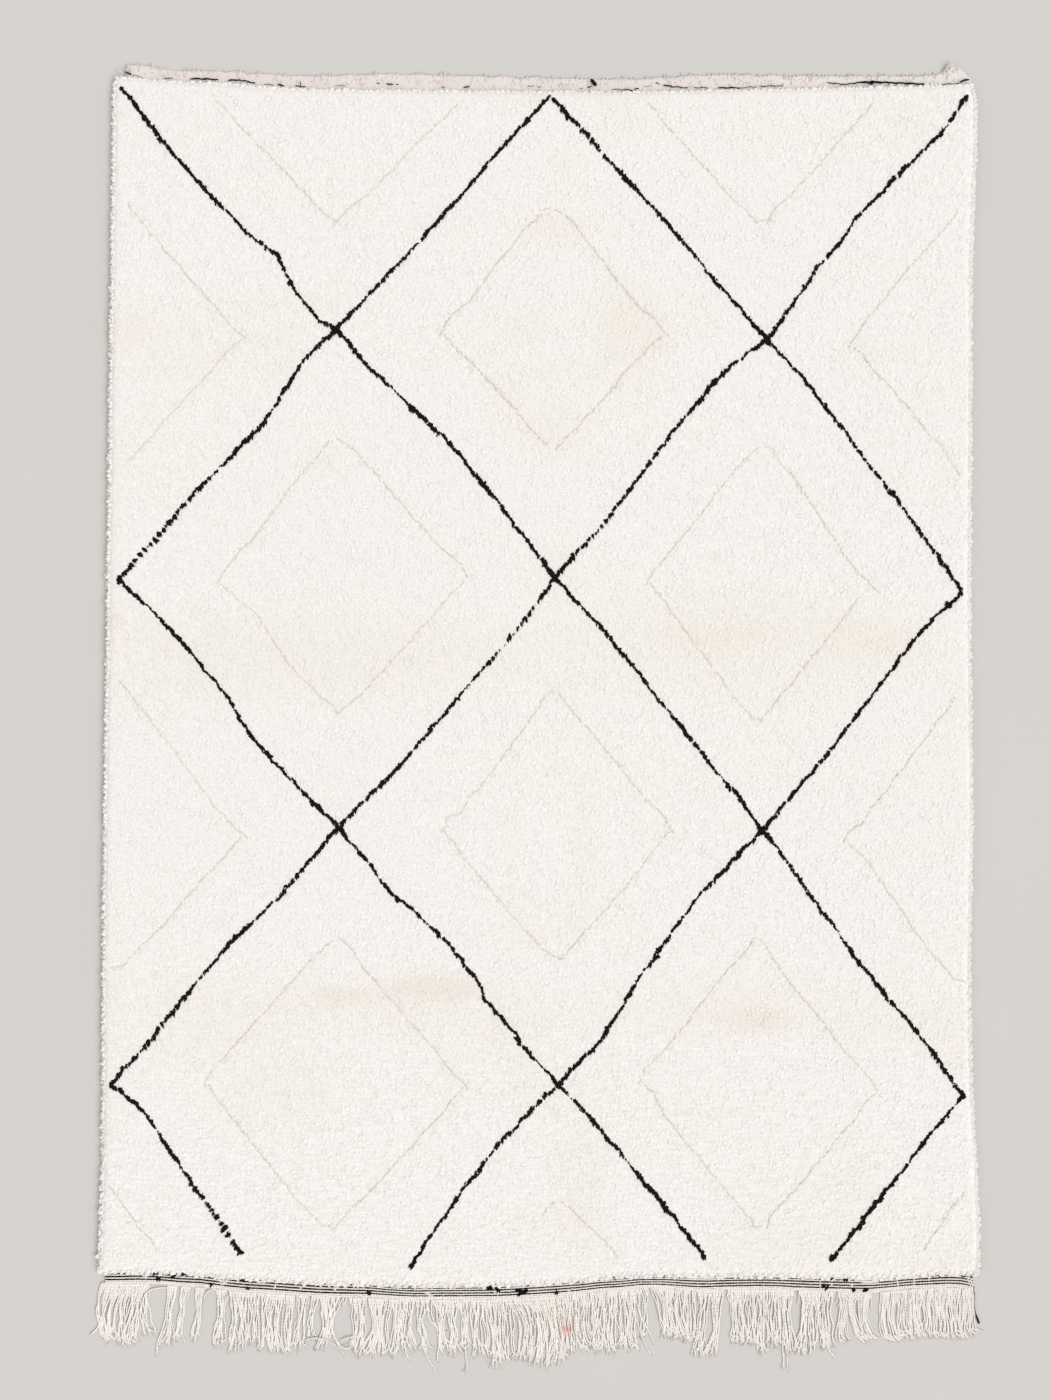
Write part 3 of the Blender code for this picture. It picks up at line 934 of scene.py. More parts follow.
# %% Warm patches
Patch = namedtuple("Patch", "x y wide high strength")
WARM = records(Patch, [
    (215, 652, 125, 42, 0.27), (420, 655, 110, 38, 0.38), (585, 655, 60, 50, 0.16),
    (745, 645, 120, 56, 0.38), (880, 640, 55, 34, 0.24), (965, 700, 15, 25, 0.25), (235, 1015, 85, 38, 0.40),
    (275, 1095, 60, 34, 0.28), (400, 1008, 110, 26, 0.34), (520, 1028, 45, 30, 0.22),
    (700, 1010, 120, 28, 0.32), (900, 1022, 80, 26, 0.22), (582, 1180, 24, 80, 0.32),
    (545, 1220, 45, 10, 0.22), (535, 1092, 28, 26, 0.22), (790, 1250, 85, 28, 0.44),
    (930, 1262, 45, 18, 0.24), (845, 1185, 24, 55, 0.26), (110, 560, 14, 90, 0.20),
    (108, 1010, 16, 80, 0.24), (106, 1140, 10, 40, 0.28), (130, 332, 30, 34, 0.30), (210, 345, 60, 40, 0.20),
    (285, 350, 25, 35, 0.26), (270, 302, 70, 12, 0.18), (625, 335, 35, 48, 0.44), (553, 230, 32, 16, 0.32),
    (548, 427, 42, 22, 0.36), (520, 328, 30, 18, 0.24), (505, 395, 22, 25, 0.22), (545, 375, 40, 14, 0.20),
    (622, 112, 34, 32, 0.26), (530, 92, 35, 18, 0.22), (565, 165, 20, 22, 0.18), (905, 118, 25, 25, 0.18),
    (882, 350, 38, 14, 0.22), (697, 315, 14, 18, 0.22), (552, 572, 24, 28, 0.20), (535, 930, 42, 18, 0.26),
    (583, 855, 14, 62, 0.22), (515, 855, 12, 50, 0.16), (320, 460, 22, 22, 0.16),
])
ROSY = records(Patch, [
    (341, 995, 30, 9, 0.75), (432, 986, 50, 12, 0.95), (755, 1019, 34, 13, 0.85), (715, 637, 54, 9, 0.32),
    (880, 643, 30, 11, 0.28), (107, 625, 13, 16, 0.36), (556, 694, 8, 6, 0.25), (957, 1058, 12, 20, 0.25),
    (135, 336, 14, 8, 0.22), (657, 332, 14, 24, 0.34),
])
RIMMED = Patch(560, 328, 112, 122, 1.0)  # the one diamond whose parting has more painted shade, and a rosy rim


def tinted(x, y, patches):
    """The sum of the patches. Each is level inside its half-width and half-height and falls off outside as
    exp(-(across cubed + down cubed)), both as shares of those."""
    x_pixel, y_pixel = to_photo(x, y)
    total = np.zeros(x.shape)
    for patch in patches:
        away = np.abs((x_pixel - patch.x) / patch.wide) ** 3 + np.abs((y_pixel - patch.y) / patch.high) ** 3
        total += patch.strength * np.exp(-away)
    return total


# %% [markdown]
# ## Locks of pile
# Each knot leaves a lock of wool, wide in its belly and drawn to a soft tip. From root to tip a lock leans
# along the nap, and at the rug's edges it leans outwards. Blender's hair would make them faster, but only
# real faces are kept in an exported model. A lock is a flattened three-sided profile carried along two
# steps to a point: ten triangles, because there are some fifty thousand of them.

# %% Locks
LOCK_PITCH = 0.0114
LOCK_ROOT, LOCK_RISE, LOCK_LEAN = 0.0024, 0.0031, 0.0136
LOCK_BELLY = 0.0084
PARTING, CARVED_PARTING = 0.0066, 0.0044  # half-widths
EDGE_REACH = 0.018  # how far inside an edge locks still lean outwards
PARTING_SHADE_REACH, RIM_REACH = 0.0085, 0.0105  # how far from a diamond's line the locks carry painted shade of the parting, or are tinted


def locks(x, y, z, lean_x, lean_y, rise, lean, belly, draw, **attributes):
    """Locks rooted at (x, y, z). The belly lies at 0.5 of the lean and 0.62 of the rise, the tip at the
    full lean and rise, so the lock arches over. Nothing reaches through the floor."""
    base = np.stack([x, y, z], axis=1)
    tip = base + np.stack([lean_x * lean, lean_y * lean, rise], axis=1)
    middle = base + np.stack([0.5 * lean_x * lean, 0.5 * lean_y * lean, 0.62 * rise], axis=1)
    paths = np.stack([base, middle, tip], axis=1)
    radii = np.stack([0.8 * belly, belly, 0 * belly], axis=1)
    roll = draw.uniform(-0.20, 0.20, len(x))
    count = len(x)
    # The finish paints shade towards the root by this share: 0 at the root, 1 at the tip.
    tipness = np.repeat(np.array([[0.0, 0.75, 1.0]]), count, axis=0)
    shape = strands(paths, radii, sides=3, roll=roll, flat=0.17, tip=tipness, **attributes)
    shape.points[:, 2] = np.maximum(shape.points[:, 2], 0.0004)
    return shape


def parted(x, y, chart, width):
    """Moves places near a charted line away from it, by 0.85 of what they lack of that half-width, and says
    how far from the line they were."""
    apart, side, left_x, left_y = chart.beside(x, y)
    push = np.maximum(width - apart, 0) * np.where(side >= 0, 1, -1) * 0.85
    return x + push * left_x, y + push * left_y, apart


def field_locks(draw):
    """The knots of the field, row by row, each strayed a little, as shares (u, v) of its width and
    length."""
    across, down = int(PILE_WIDTH / LOCK_PITCH), int(PILE_LENGTH / LOCK_PITCH)
    u, v = np.meshgrid(np.arange(across) + 0.5, np.arange(down) + 0.5)
    u = u + 0.5 * (np.arange(down)[:, None] % 2 - 0.5)
    u = (u + draw.uniform(-0.36, 0.36, u.shape)) / across
    v = (v + draw.uniform(-0.36, 0.36, v.shape)) / down
    u, v = np.clip(u, 0.0035, 0.9965).ravel(), np.clip(v, 0.002, 0.998).ravel()
    return u, v


def edge_pull(u, v):
    """(outward x, outward y) near the edges: the square of a share that is 1 at an edge and 0 inside."""
    left, right, top, bottom = [np.clip(1 - d / EDGE_REACH, 0, 1) ** 2 for d in edge_distances(u, v)]
    return right - left, 0.55 * top - bottom


def field_shape(draw):
    """The locks of the field. They part along both charts, lean with the nap turned by a random angle, and
    outwards at the edges. Along a diamond they are lower and carry painted shade of the parting, by
    exp(-(distance / reach) squared)."""
    u, v = field_locks(draw)
    x, y = field(u, v)
    x, y, from_diamond = parted(x, y, diamonds, CARVED_PARTING)
    x, y, _ = parted(x, y, lattice, PARTING)
    lean_x, lean_y = nap(x, y)
    out_x, out_y = edge_pull(u, v)
    hold = 1 - np.clip(np.hypot(out_x, out_y), 0, 1)
    heading = draw.normal(0, 0.38, len(x))
    turned_x = lean_x * np.cos(heading) - lean_y * np.sin(heading)
    turned_y = lean_x * np.sin(heading) + lean_y * np.cos(heading)
    lean_x, lean_y = turned_x * hold + out_x, turned_y * hold + out_y
    edge = nearest_edge(u, v)
    size = draw.uniform(0.82, 1.16, len(x))
    base = bed_height(edge) + pile_swell(x, y) - LOCK_ROOT
    rise = LOCK_RISE * draw.uniform(0.75, 1.30, len(x))
    lean = LOCK_LEAN * draw.uniform(0.7, 1.3, len(x)) * (1 - 0.35 * (1 - hold))
    # Painted shade of the diamond's parting on the locks beside it, fading with distance.
    carved = np.exp(-((from_diamond / PARTING_SHADE_REACH) ** 2))
    rim = tinted(x, y, [RIMMED]) * np.exp(-((from_diamond / RIM_REACH) ** 2))
    shade = draw.uniform(0, 1, len(x))
    shape = locks(
        x, y, base, lean_x, lean_y, rise * (1 - 0.18 * carved), lean, LOCK_BELLY * size, draw,
        warmth=tinted(x, y, WARM) + 0.30 * rim, rosy=tinted(x, y, ROSY) + 0.30 * rim, lock=shade,
        carved=0.50 * carved,
    )
    return u, shape


field_draw = np.random.default_rng(51)
field_u, ivory_field = field_shape(field_draw)
print("locks in the field", len(field_u))


# %% [markdown]
# Along the four edges, the outermost knots send their locks out over the selvedge and down towards the
# floor, in a few tiers, so the rug's side is as shaggy as its top.


# %% Edge locks
EDGE_PITCH = 0.0088
EDGE_MARGIN = 0.006  # left free at both ends of an edge
Tier = namedtuple("Tier", "height inset reach rise")
TIERS = records(Tier, [
    (0.0042, 0.0095, 0.0095, -0.0012), (0.0068, 0.0100, 0.0100, 0.0008), (0.0092, 0.0115, 0.0100, 0.0034),
    (0.0112, 0.0140, 0.0100, 0.0060),
])


def edge_shape(draw):
    """Locks along the four edges in each tier: evenly spaced and strayed, each leaning outwards at a random
    angle, with reaches that swell and shrink along the edge."""
    shapes, shares = [], []
    for tier in TIERS:
        for side in ("left", "right", "start", "end"):
            size = PILE_LENGTH if side in ("left", "right") else PILE_WIDTH
            count = int(size / EDGE_PITCH)
            along = (np.arange(count) + 0.5 + draw.uniform(-0.4, 0.4, count)) / count
            along = along * (1 - 2 * EDGE_MARGIN / size) + EDGE_MARGIN / size
            inset = tier.inset + draw.uniform(-0.001, 0.001, count)
            if side in ("left", "right"):
                u = inset / PILE_WIDTH if side == "left" else 1 - inset / PILE_WIDTH
                v = along
                out = (-1.0 if side == "left" else 1.0, -0.25)
            else:
                u = along
                v = inset / PILE_LENGTH if side == "start" else 1 - inset / PILE_LENGTH
                out = (-0.1, 0.8 if side == "start" else -1.0)
            x, y = field(u, v)
            heading = draw.normal(0, 0.35, count)
            lean_x = out[0] * np.cos(heading) - out[1] * np.sin(heading)
            lean_y = out[0] * np.sin(heading) + out[1] * np.cos(heading)
            uneven = 1 + 0.22 * slow_waves(x + y, x - y, 0.035, seed=57)
            reach = tier.reach * draw.uniform(0.70, 1.30, count) * uneven
            rise = tier.rise + draw.uniform(-0.0012, 0.0014, count)
            belly = LOCK_BELLY * draw.uniform(0.62, 0.92, count)
            height = tier.height + draw.uniform(-0.0008, 0.0008, count)
            shapes.append(
                locks(
                    x, y, np.maximum(height, 0.0036), lean_x, lean_y, rise, reach, belly, draw,
                    warmth=tinted(x, y, WARM), rosy=tinted(x, y, ROSY),
                    lock=draw.uniform(0, 1, count), carved=np.zeros(count),
                )
            )
            shares.append(u)
    return np.concatenate(shares), shapes


edge_draw = np.random.default_rng(52)
edge_u, edge_shapes = edge_shape(edge_draw)
ivory_edge = edge_shapes[0]
for more in edge_shapes[1:]:
    ivory_edge = ivory_edge + more
print("locks along the edges", len(edge_u))

# %% [markdown]
# The faint diamonds are rows of greyer knots that lie low in a parting of the pile, so they show as a fine
# broken line. Their grey is partly the yarn's and partly painted shade of the parting, and the locks beside
# them carry painted shade of it too.

# %% Carved rows
CARVED_SPACING = 0.0062
CARVED_DEPTH = 0.003  # below the bed's top, where they are rooted


def carved_shape(draw):
    """Thin locks along the diamonds, mostly in line with them and a little with the nap. They are greyer,
    partly as yarn and partly as painted shade of the parting, and paler again in slow waves along each line.
    In the diamond with the rim they are fuller and carry more painted shade."""
    places, headings, measure = diamonds.walk(CARVED_SPACING, 0.002, draw)
    count = len(places)
    x = places[:, 0] + draw.normal(0, 0.0012, count)
    y = places[:, 1] + draw.normal(0, 0.0012, count)
    lean_x, lean_y = nap(x, y)
    sign = np.where(headings[:, 1] > 0, -1.0, 1.0)[:, None]
    lean = unit(0.95 * headings * sign + 0.22 * np.stack([lean_x, lean_y], axis=1))
    base = BED_TOP + pile_swell(x, y) - CARVED_DEPTH
    rise = draw.uniform(0.0050, 0.0066, count)
    reach = draw.uniform(0.012, 0.017, count)
    rim = tinted(x, y, [RIMMED])
    belly = draw.uniform(0.0017, 0.0027, count) * (1 + 0.35 * rim)
    # Greyer yarn and painted shade of the parting, with more shade in the diamond with the rim.
    knot_grey_and_shade = 0.78 + 0.40 * slow_waves(measure, 0 * measure, 0.16, seed=54) + draw.normal(0, 0.12, count)
    knot_grey_and_shade = np.clip(0.30 * rim + np.clip(knot_grey_and_shade, 0, 1), 0, 1)
    shape = locks(
        x, y, base, lean[:, 0], lean[:, 1], rise, reach, belly, draw,
        warmth=np.full(count, 0.5), rosy=0.5 * rim, lock=draw.uniform(0, 1, count), carved=knot_grey_and_shade,
    )
    left_edge, _ = field(0.0 * x, np.clip((RUG_HIGH.y - y) / PILE_LENGTH, 0, 1))
    return (x - left_edge) / PILE_WIDTH, shape


carved_u, ivory_carved = carved_shape(np.random.default_rng(53))
print("knots in the diamonds", len(carved_u))

# %% [markdown]
# ## Five strips of pile
# One mesh of all locks would be too heavy to handle, so the locks go into five lengthwise strips, by where
# they are rooted. The bed is a piece of its own.

# %% Strips
STRIPS = 5
POINTS_A_LOCK, QUADS_A_LOCK, TRIANGLES_A_LOCK = 7, 3, 4


def chosen(shape, keep):
    """The locks of a shape that `keep` marks: every lock has the same number of points and faces."""
    count = len(keep)
    number = np.cumsum(keep) - 1
    shift = ((number - np.arange(count)) * POINTS_A_LOCK)[:, None, None]
    points = shape.points.reshape(count, POINTS_A_LOCK, 3)[keep]
    quads = (shape.quads.reshape(count, QUADS_A_LOCK, 4) + shift)[keep]
    triangles = (shape.triangles.reshape(count, TRIANGLES_A_LOCK, 3) + shift)[keep]
    values = {k: v.reshape(count, POINTS_A_LOCK)[keep].ravel() for k, v in shape.attributes.items()}
    return Shape(points, quads, triangles, **values)


bed_shape.attributes = {
    "warmth": tinted(bed_shape.points[:, 0], bed_shape.points[:, 1], WARM),
    "rosy": tinted(bed_shape.points[:, 0], bed_shape.points[:, 1], ROSY),
    "lock": np.full(len(bed_shape.points), 0.5),
    "carved": np.zeros(len(bed_shape.points)),
    # A tip of 0.35 paints 0.65 of the locks' root shade over the whole bed.
    "tip": np.full(len(bed_shape.points), 0.35),
}
pile_bed = make_piece("pile_bed", bed_shape, wool_bed, "woven_rug")
for strip in range(STRIPS):
    parts = None
    for share, shape in ((field_u, ivory_field), (edge_u, ivory_edge), (carved_u, ivory_carved)):
        inside = np.clip((share * STRIPS).astype(int), 0, STRIPS - 1) == strip
        part = chosen(shape, inside)
        parts = part if parts is None else parts + part
    name = f"pile_strip_{strip + 1}"
    make_piece(name, parts, wool_locks, "woven_rug", rounded=False)

# %% [markdown]
# ## The dark lattice
# Every knot of the lattice leaves a small brush of near-black strands in the parting. Where the weaver tied
# close together the line is fat and feathered, and where the ivory closes over it is thin or broken. Black
# paint on the pile would give an even line, so each knot is a brush of its own. It has a fatness that
# changes slowly along the line, and its strands follow partly the line, partly the nap.

# %% Dark knots
KNOT_SPACING = 0.0080
STRANDS_A_KNOT = 7
CLUMP_PITCH = 0.0165  # from tuft to tuft where the strands are combed across the line
Spot = namedtuple("Spot", "x y reach")
FAINT = records(Spot, [(537, 1066, 11), (590, 1066, 9), (468, 690, 8), (598, 500, 8), (712, 396, 4)])
COMBS = records(Spot, [
    (222, 1222, 38), (165, 1030, 30), (152, 545, 36), (830, 1262, 16), (600, 150, 26), (528, 612, 26),
    (505, 640, 22), (600, 528, 14),
])
HEAVY = records(Spot, [(872, 1205, 60), (670, 1215, 48), (445, 450, 90), (600, 150, 55), (170, 150, 60)])
BLOBS = records(Spot, [
    (121, 89, 5), (550, 98, 5), (966, 98, 6), (336, 330, 7), (766, 338, 8), (118, 580, 7), (555, 577, 6),
    (962, 592, 6), (337, 826, 9), (763, 828, 7), (112, 1083, 6), (558, 1083, 9), (962, 1093, 7),
    (586, 134, 5), (319, 803, 6), (244, 1252, 4), (412, 1262, 4), (704, 1256, 5), (835, 1256, 6),
    (277, 258, 5),
])


def nearness(spot, x_pixel, y_pixel):
    """1 at the spot and almost 0 at twice its reach: exp(-(distance / reach) squared)."""
    return np.exp(-((x_pixel - spot.x) ** 2 + (y_pixel - spot.y) ** 2) / spot.reach**2)


def fatness(x, y, measure, draw):
    """0.38 to 1.5: slow and quick waves along the line, more at the blobs and in the heavy stretches, less
    at the faint places. In the combed stretches it comes in clumps, down to 0 between them."""
    fat = 0.92 + 0.24 * slow_waves(measure, 0 * measure, 0.10, seed=61)
    fat = fat + 0.30 * slow_waves(measure, 0 * measure, 0.034, seed=62) + draw.normal(0, 0.12, len(measure))
    x_pixel, y_pixel = to_photo(x, y)
    for spot in BLOBS:
        fat = fat + 0.55 * nearness(spot, x_pixel, y_pixel)
    for spot in HEAVY:
        fat = fat + 0.28 * nearness(spot, x_pixel, y_pixel)
    for spot in FAINT:
        fat = fat * (1 - 0.7 * nearness(spot, x_pixel, y_pixel))
    clumps = 0.75 + 0.75 * np.sin(2 * pi * measure / CLUMP_PITCH)
    across = combed(x, y)
    fat = fat * (1 - across + across * np.clip(clumps, 0.22, 1.4))
    return np.clip(fat, 0.38 - 0.38 * across, 1.5)


def combed(x, y):
    """1 where the strands lie wholly along the nap, across the line, and 0 elsewhere."""
    x_pixel, y_pixel = to_photo(x, y)
    total = np.zeros(x.shape)
    for spot in COMBS:
        total += nearness(spot, x_pixel, y_pixel)
    return np.clip(total, 0, 1)


def brush(places, headings, fat, draw, floor=None):
    """Strands of the dark knots at places. Each is rooted near the line and runs partly along it, partly
    along the nap, and rises to the pile's top or, where `floor` is given, to just above that height. It is
    kept with a chance that grows with the knot's fatness."""
    count = len(places) * STRANDS_A_KNOT
    x, y = np.repeat(places, STRANDS_A_KNOT, axis=0).T
    fat = np.repeat(fat, STRANDS_A_KNOT)
    heading = np.repeat(headings, STRANDS_A_KNOT, axis=0)
    left = np.stack([-heading[:, 1], heading[:, 0]], axis=1)
    stray = draw.normal(0, 1, count) * 0.0015 * fat
    slide = draw.uniform(-0.0044, 0.0044, count) * (1 - 0.55 * combed(x, y))
    root = np.stack([x, y], axis=1) + stray[:, None] * left + slide[:, None] * heading
    lean_x, lean_y = nap(root[:, 0], root[:, 1])
    downhill = np.where(heading @ np.array([0.0, 1.0]) > 0, -1.0, 1.0)[:, None]
    across = combed(root[:, 0], root[:, 1])
    with_line = (draw.uniform(0.0, 0.75, count) * (1 - across))[:, None]
    lean = with_line * heading * downhill + (1.0 - with_line) * np.stack([lean_x, lean_y], axis=1)
    lean = unit(lean + draw.normal(0, 0.16, (count, 2)))
    length = draw.uniform(0.0085, 0.0150, count) * (0.70 + 0.35 * fat) * (1 + 0.3 * across)
    start = root - 0.35 * length[:, None] * lean
    end = root + 0.65 * length[:, None] * lean
    top = PILE_TOP + pile_swell(x, y) + draw.uniform(-0.0008, 0.0012, count)
    if floor is not None:
        top = np.repeat(floor, STRANDS_A_KNOT) + draw.uniform(0.0008, 0.0026, count)
    sunk = np.where(fat < 0.45, 0.0012, 0.0)
    base = np.column_stack([start, top - 0.0060])
    middle = np.column_stack([0.45 * start + 0.55 * end, top - 0.0012 - sunk])
    tip = np.column_stack([end, top - 0.0004 - sunk])
    width = draw.uniform(0.0024, 0.0039, count) * (0.55 + 0.5 * fat)
    least = 0.35 * (1 - across)
    keep = draw.uniform(0, 1, count) < least + (1 - least) * fat
    paths = np.stack([base, middle, tip], axis=1)[keep]
    radii = np.stack([0.7 * width, width, 0 * width], axis=1)[keep]
    roll = draw.uniform(0, 2 * pi, keep.sum())
    return strands(paths, radii, sides=3, roll=roll, flat=0.8)


knot_draw = np.random.default_rng(63)
knot_places, knot_headings, knot_measures = lattice.walk(KNOT_SPACING, 0.003, knot_draw)
knot_fat = fatness(knot_places[:, 0], knot_places[:, 1], knot_measures, knot_draw)
lattice_shape = brush(knot_places, knot_headings, knot_fat, knot_draw)
lattice_knots = make_piece(
    "lattice_knots", lattice_shape, near_black, "woven_rug", rounded=False
)
print("knots in the lattice", len(knot_places))

# %% [markdown]
# On the back of the rug each dark knot shows as a small loop round its pair of warps. A loop is only two
# yarns thick and is seen from afar, so each one is a low flat pad just under the cloth.

# %% Knot backs
BACK_HALF_WIDTH, BACK_HALF_LENGTH = 0.0036, 0.0022


def knot_backs(places):
    """A low closed pad for each knot: a blunt strand that runs across the warps."""
    count = len(places)
    x, y = places.T
    ends = [np.column_stack([x + s * BACK_HALF_WIDTH, y, np.full(count, 0.0006)]) for s in (-1, 1)]
    paths = np.stack(ends, axis=1)
    radii = np.full((count, 2), BACK_HALF_LENGTH)
    return strands(paths, radii, sides=4, flat=0.24, pointed=False)


knot_loops = make_piece("knot_backs", knot_backs(knot_places), near_black, "woven_rug")

# %% [markdown]
# ## The twined band
# Above the fringe the weaver twines two wefts about the warps: each pair of warps leaves one slanting
# stitch. Four dark rows lie between ivory ones, and a fifth shows here and there under the pile's last
# locks, which fall over the upper rows. Lines in the cloth's finish would be flat, and the stitches stand
# up from it. So a stitch is a small pointed lens, and a row is one stitch after another along the charted
# line.

# %% Twined rows
ROW_ACROSS = [
    105, 120, 140, 160, 180, 200, 212, 228, 245, 262, 280, 300, 315, 340, 370, 390, 410, 440, 470, 500, 520,
    540, 560, 580, 600, 620, 640, 660, 680, 700, 720, 740, 760, 780, 800, 830, 850, 870, 890, 905, 930, 950,
    965, 974,
]
ROW_DOWN = [
    1279.8, 1279.6, 1279.3, 1280.0, 1281.7, 1282.7, 1284.0, 1286.0, 1287.6, 1288.8, 1289.9, 1291.3, 1292.3,
    1293.1, 1293.6, 1294.9, 1296.0, 1295.9, 1295.8, 1295.4, 1294.5, 1293.3, 1291.8, 1290.2, 1287.9, 1286.6,
    1284.6, 1284.5, 1285.6, 1286.8, 1286.3, 1285.8, 1285.5, 1286.0, 1287.0, 1287.8, 1288.3, 1288.4, 1286.8,
    1285.4, 1284.1, 1283.3, 1284.3, 1286.5,
]
Course = namedtuple("Course", "across down")
LOWEST_ROW = [Course(a, d) for a, d in zip(ROW_ACROSS, ROW_DOWN)]
# Pixels across, and the pixels between two rows there.
GAP_ACROSS = [
    105, 160, 200, 300, 340, 390, 470, 540, 600, 650, 700, 760, 800, 860, 890, 930, 974,
]
ROW_GAPS = [
    3.0, 2.8, 2.9, 3.0, 3.0, 2.45, 2.6, 2.8, 2.55, 2.35, 2.75, 2.6, 2.8, 2.8, 2.5, 2.75, 2.8,
]
STITCH_PITCH = 0.0066
STITCH_HEIGHT = CLOTH_TOP + 0.0010
DARK_ROWS = (0.0, 1.0, 2.0, 2.8)  # in gaps above the lowest row
LAST_DARK_ROW = 3.45
BELOW_ROWS = (-0.50, -1.05)  # ivory rows between the lowest dark one and the fringe
BOLD_AT = (245, 270, 300, 350, 395, 420, 690, 715)  # pixels across, for the next row's factors
BOLDNESS = (1.15, 1.09, 1.16, 1.16, 1.09, 0.94, 0.94, 1.03)  # how wide the dark stitches are there
Hidden = namedtuple("Hidden", "row left right share")  # of a row's stitches, under the pile's last locks
HIDDEN = records(Hidden, [
    (0, 427, 434, 0.7), (0, 568, 571, 1.0), (1, 142, 149, 0.8), (1, 219, 225, 0.9), (1, 273, 276, 0.8),
    (1, 299, 303, 0.9), (1, 423, 431, 0.7), (1, 494, 500, 0.8), (1, 750, 752, 1.0), (2, 90, 112, 1.0),
    (2, 219, 229, 0.9), (2, 256, 261, 0.8), (2, 290, 298, 0.4), (2, 304, 367, 0.5), (2, 856, 878, 0.45),
    (3, 90, 176, 0.9), (3, 176, 245, 0.45), (3, 245, 300, 0.55), (3, 300, 367, 0.6), (3, 367, 500, 0.2),
    (3, 500, 546, 0.45), (3, 546, 600, 0.7), (3, 600, 690, 0.35), (3, 690, 725, 0.6), (3, 725, 750, 0.1),
    (3, 750, 757, 1.0), (3, 757, 803, 0.1), (3, 803, 814, 0.9), (3, 814, 857, 0.2), (3, 857, 960, 0.85),
    (3, 967, 980, 0.6), (4, 90, 305, 0.85), (4, 305, 365, 0.55), (4, 365, 600, 0.88), (4, 600, 690, 0.5),
    (4, 690, 980, 0.88),
])


def hidden_share(row, x_pixel):
    """The share of the row's stitches that don't show at each pixel across."""
    share = np.full(len(x_pixel), 0.004 + 0.012 * row)
    for place in HIDDEN:
        if place.row == row:
            share[(x_pixel > place.left) & (x_pixel < place.right)] = place.share
    return share


def row_of_stitches(number, slant, half_width, draw, row=None):
    """Stitches along the lowest row's line moved up by `number` of the gaps there. Each runs from one side
    of the line to the other and is highest in its middle, by 1 - share squared. `row` is given for dark
    rows and picks what is hidden of them."""
    first, last = from_photo([LOWEST_ROW[0].across, LOWEST_ROW[-1].across], [0, 0])[0]
    count = int((last - first) / STITCH_PITCH)
    centre = first + (np.arange(count) + 0.5) * STITCH_PITCH
    x_pixel, _ = to_photo(centre, 0.0)
    offset = number * np.interp(x_pixel, GAP_ACROSS, ROW_GAPS)
    y = from_photo(0, smooth(LOWEST_ROW, "down", x_pixel) - offset)[1] + draw.normal(0, 0.0002, count)
    half = 0.62 * STITCH_PITCH
    shares = np.array([-1.0, -0.45, 0.45, 1.0])
    x_path = centre[:, None] + half * shares
    y_path = y[:, None] + slant * shares
    z_path = STITCH_HEIGHT + 0.0007 * (1 - shares**2)[None] + draw.uniform(0, 0.0003, count)[:, None]
    bold = np.interp(x_pixel, BOLD_AT, BOLDNESS) if row is not None else 1.0
    width = half_width * draw.uniform(0.85, 1.12, count) * bold
    radii = width[:, None] * np.array([[0.45, 1.0, 1.0, 0.0]])
    keep = draw.uniform(0, 1, count) >= (0 if row is None else hidden_share(row, x_pixel))
    return strands(
        np.stack([x_path, y_path, z_path], axis=-1)[keep], radii[keep], sides=4, roll=pi / 4, flat=0.8,
        lock=draw.uniform(0, 1, count)[keep],
    )


Crossing = namedtuple("Crossing", "low high")
CROSSINGS = records(Crossing, [
    (146, 144.5), (219.5, 229), (221.5, 231), (273.5, 276), (498, 497), (820, 820.5), (899, 896.5),
    (913.5, 914.5), (971, 967), (973, 970),
])


def crossings(draw):
    """Ivory ends that cross all dark rows: straight, from below the lowest row to above the uppermost."""
    share = np.linspace(0, 1, 5)[None, :]
    low, high = np.array(CROSSINGS, float).T[:, :, None]
    x_pixel = low + (high - low) * share
    x, y = from_photo(x_pixel, smooth(LOWEST_ROW, "down", x_pixel) + 1.5 - share * 9.5)
    z = STITCH_HEIGHT + 0.0022 * np.sin(pi * share) + 0 * x
    radii = np.full(x.shape, 0.0015)
    return strands(np.stack([x, y, z], axis=-1), radii, sides=4, lock=draw.uniform(0, 1, len(x)))


row_draw = np.random.default_rng(71)
dark_rows, ivory_rows = None, None
for row, number in enumerate(DARK_ROWS):
    stitches = row_of_stitches(number, -0.0007, 0.00195 - 0.00010 * row, row_draw, row)
    dark_rows = stitches if dark_rows is None else dark_rows + stitches
    stitches = row_of_stitches(number + 0.46, 0.0004, 0.00185, row_draw)
    ivory_rows = stitches if ivory_rows is None else ivory_rows + stitches
dark_rows = dark_rows + row_of_stitches(LAST_DARK_ROW, -0.0012, 0.0020, row_draw, len(DARK_ROWS))
for number in BELOW_ROWS:
    ivory_rows = ivory_rows + row_of_stitches(number, 0.0003, 0.0021, row_draw)
ivory_rows = ivory_rows + crossings(row_draw)
twined_dark = make_piece("twined_dark_rows", dark_rows, near_black, "woven_rug", rounded=False)
twined_ivory = make_piece(
    "twined_ivory_rows", ivory_rows, cream_warp, "woven_rug", rounded=False
)

# %% [markdown]
# ## Loose dark ends
# Where a dark weft starts or ends, its tail is tucked in as a small clot, which the lattice's brush can
# make too. A loose dark thread also runs along the foot of the pile at the plain end, in and out of the
# cloth. One long thread would have to dive at the right places, so only the parts that show are made.

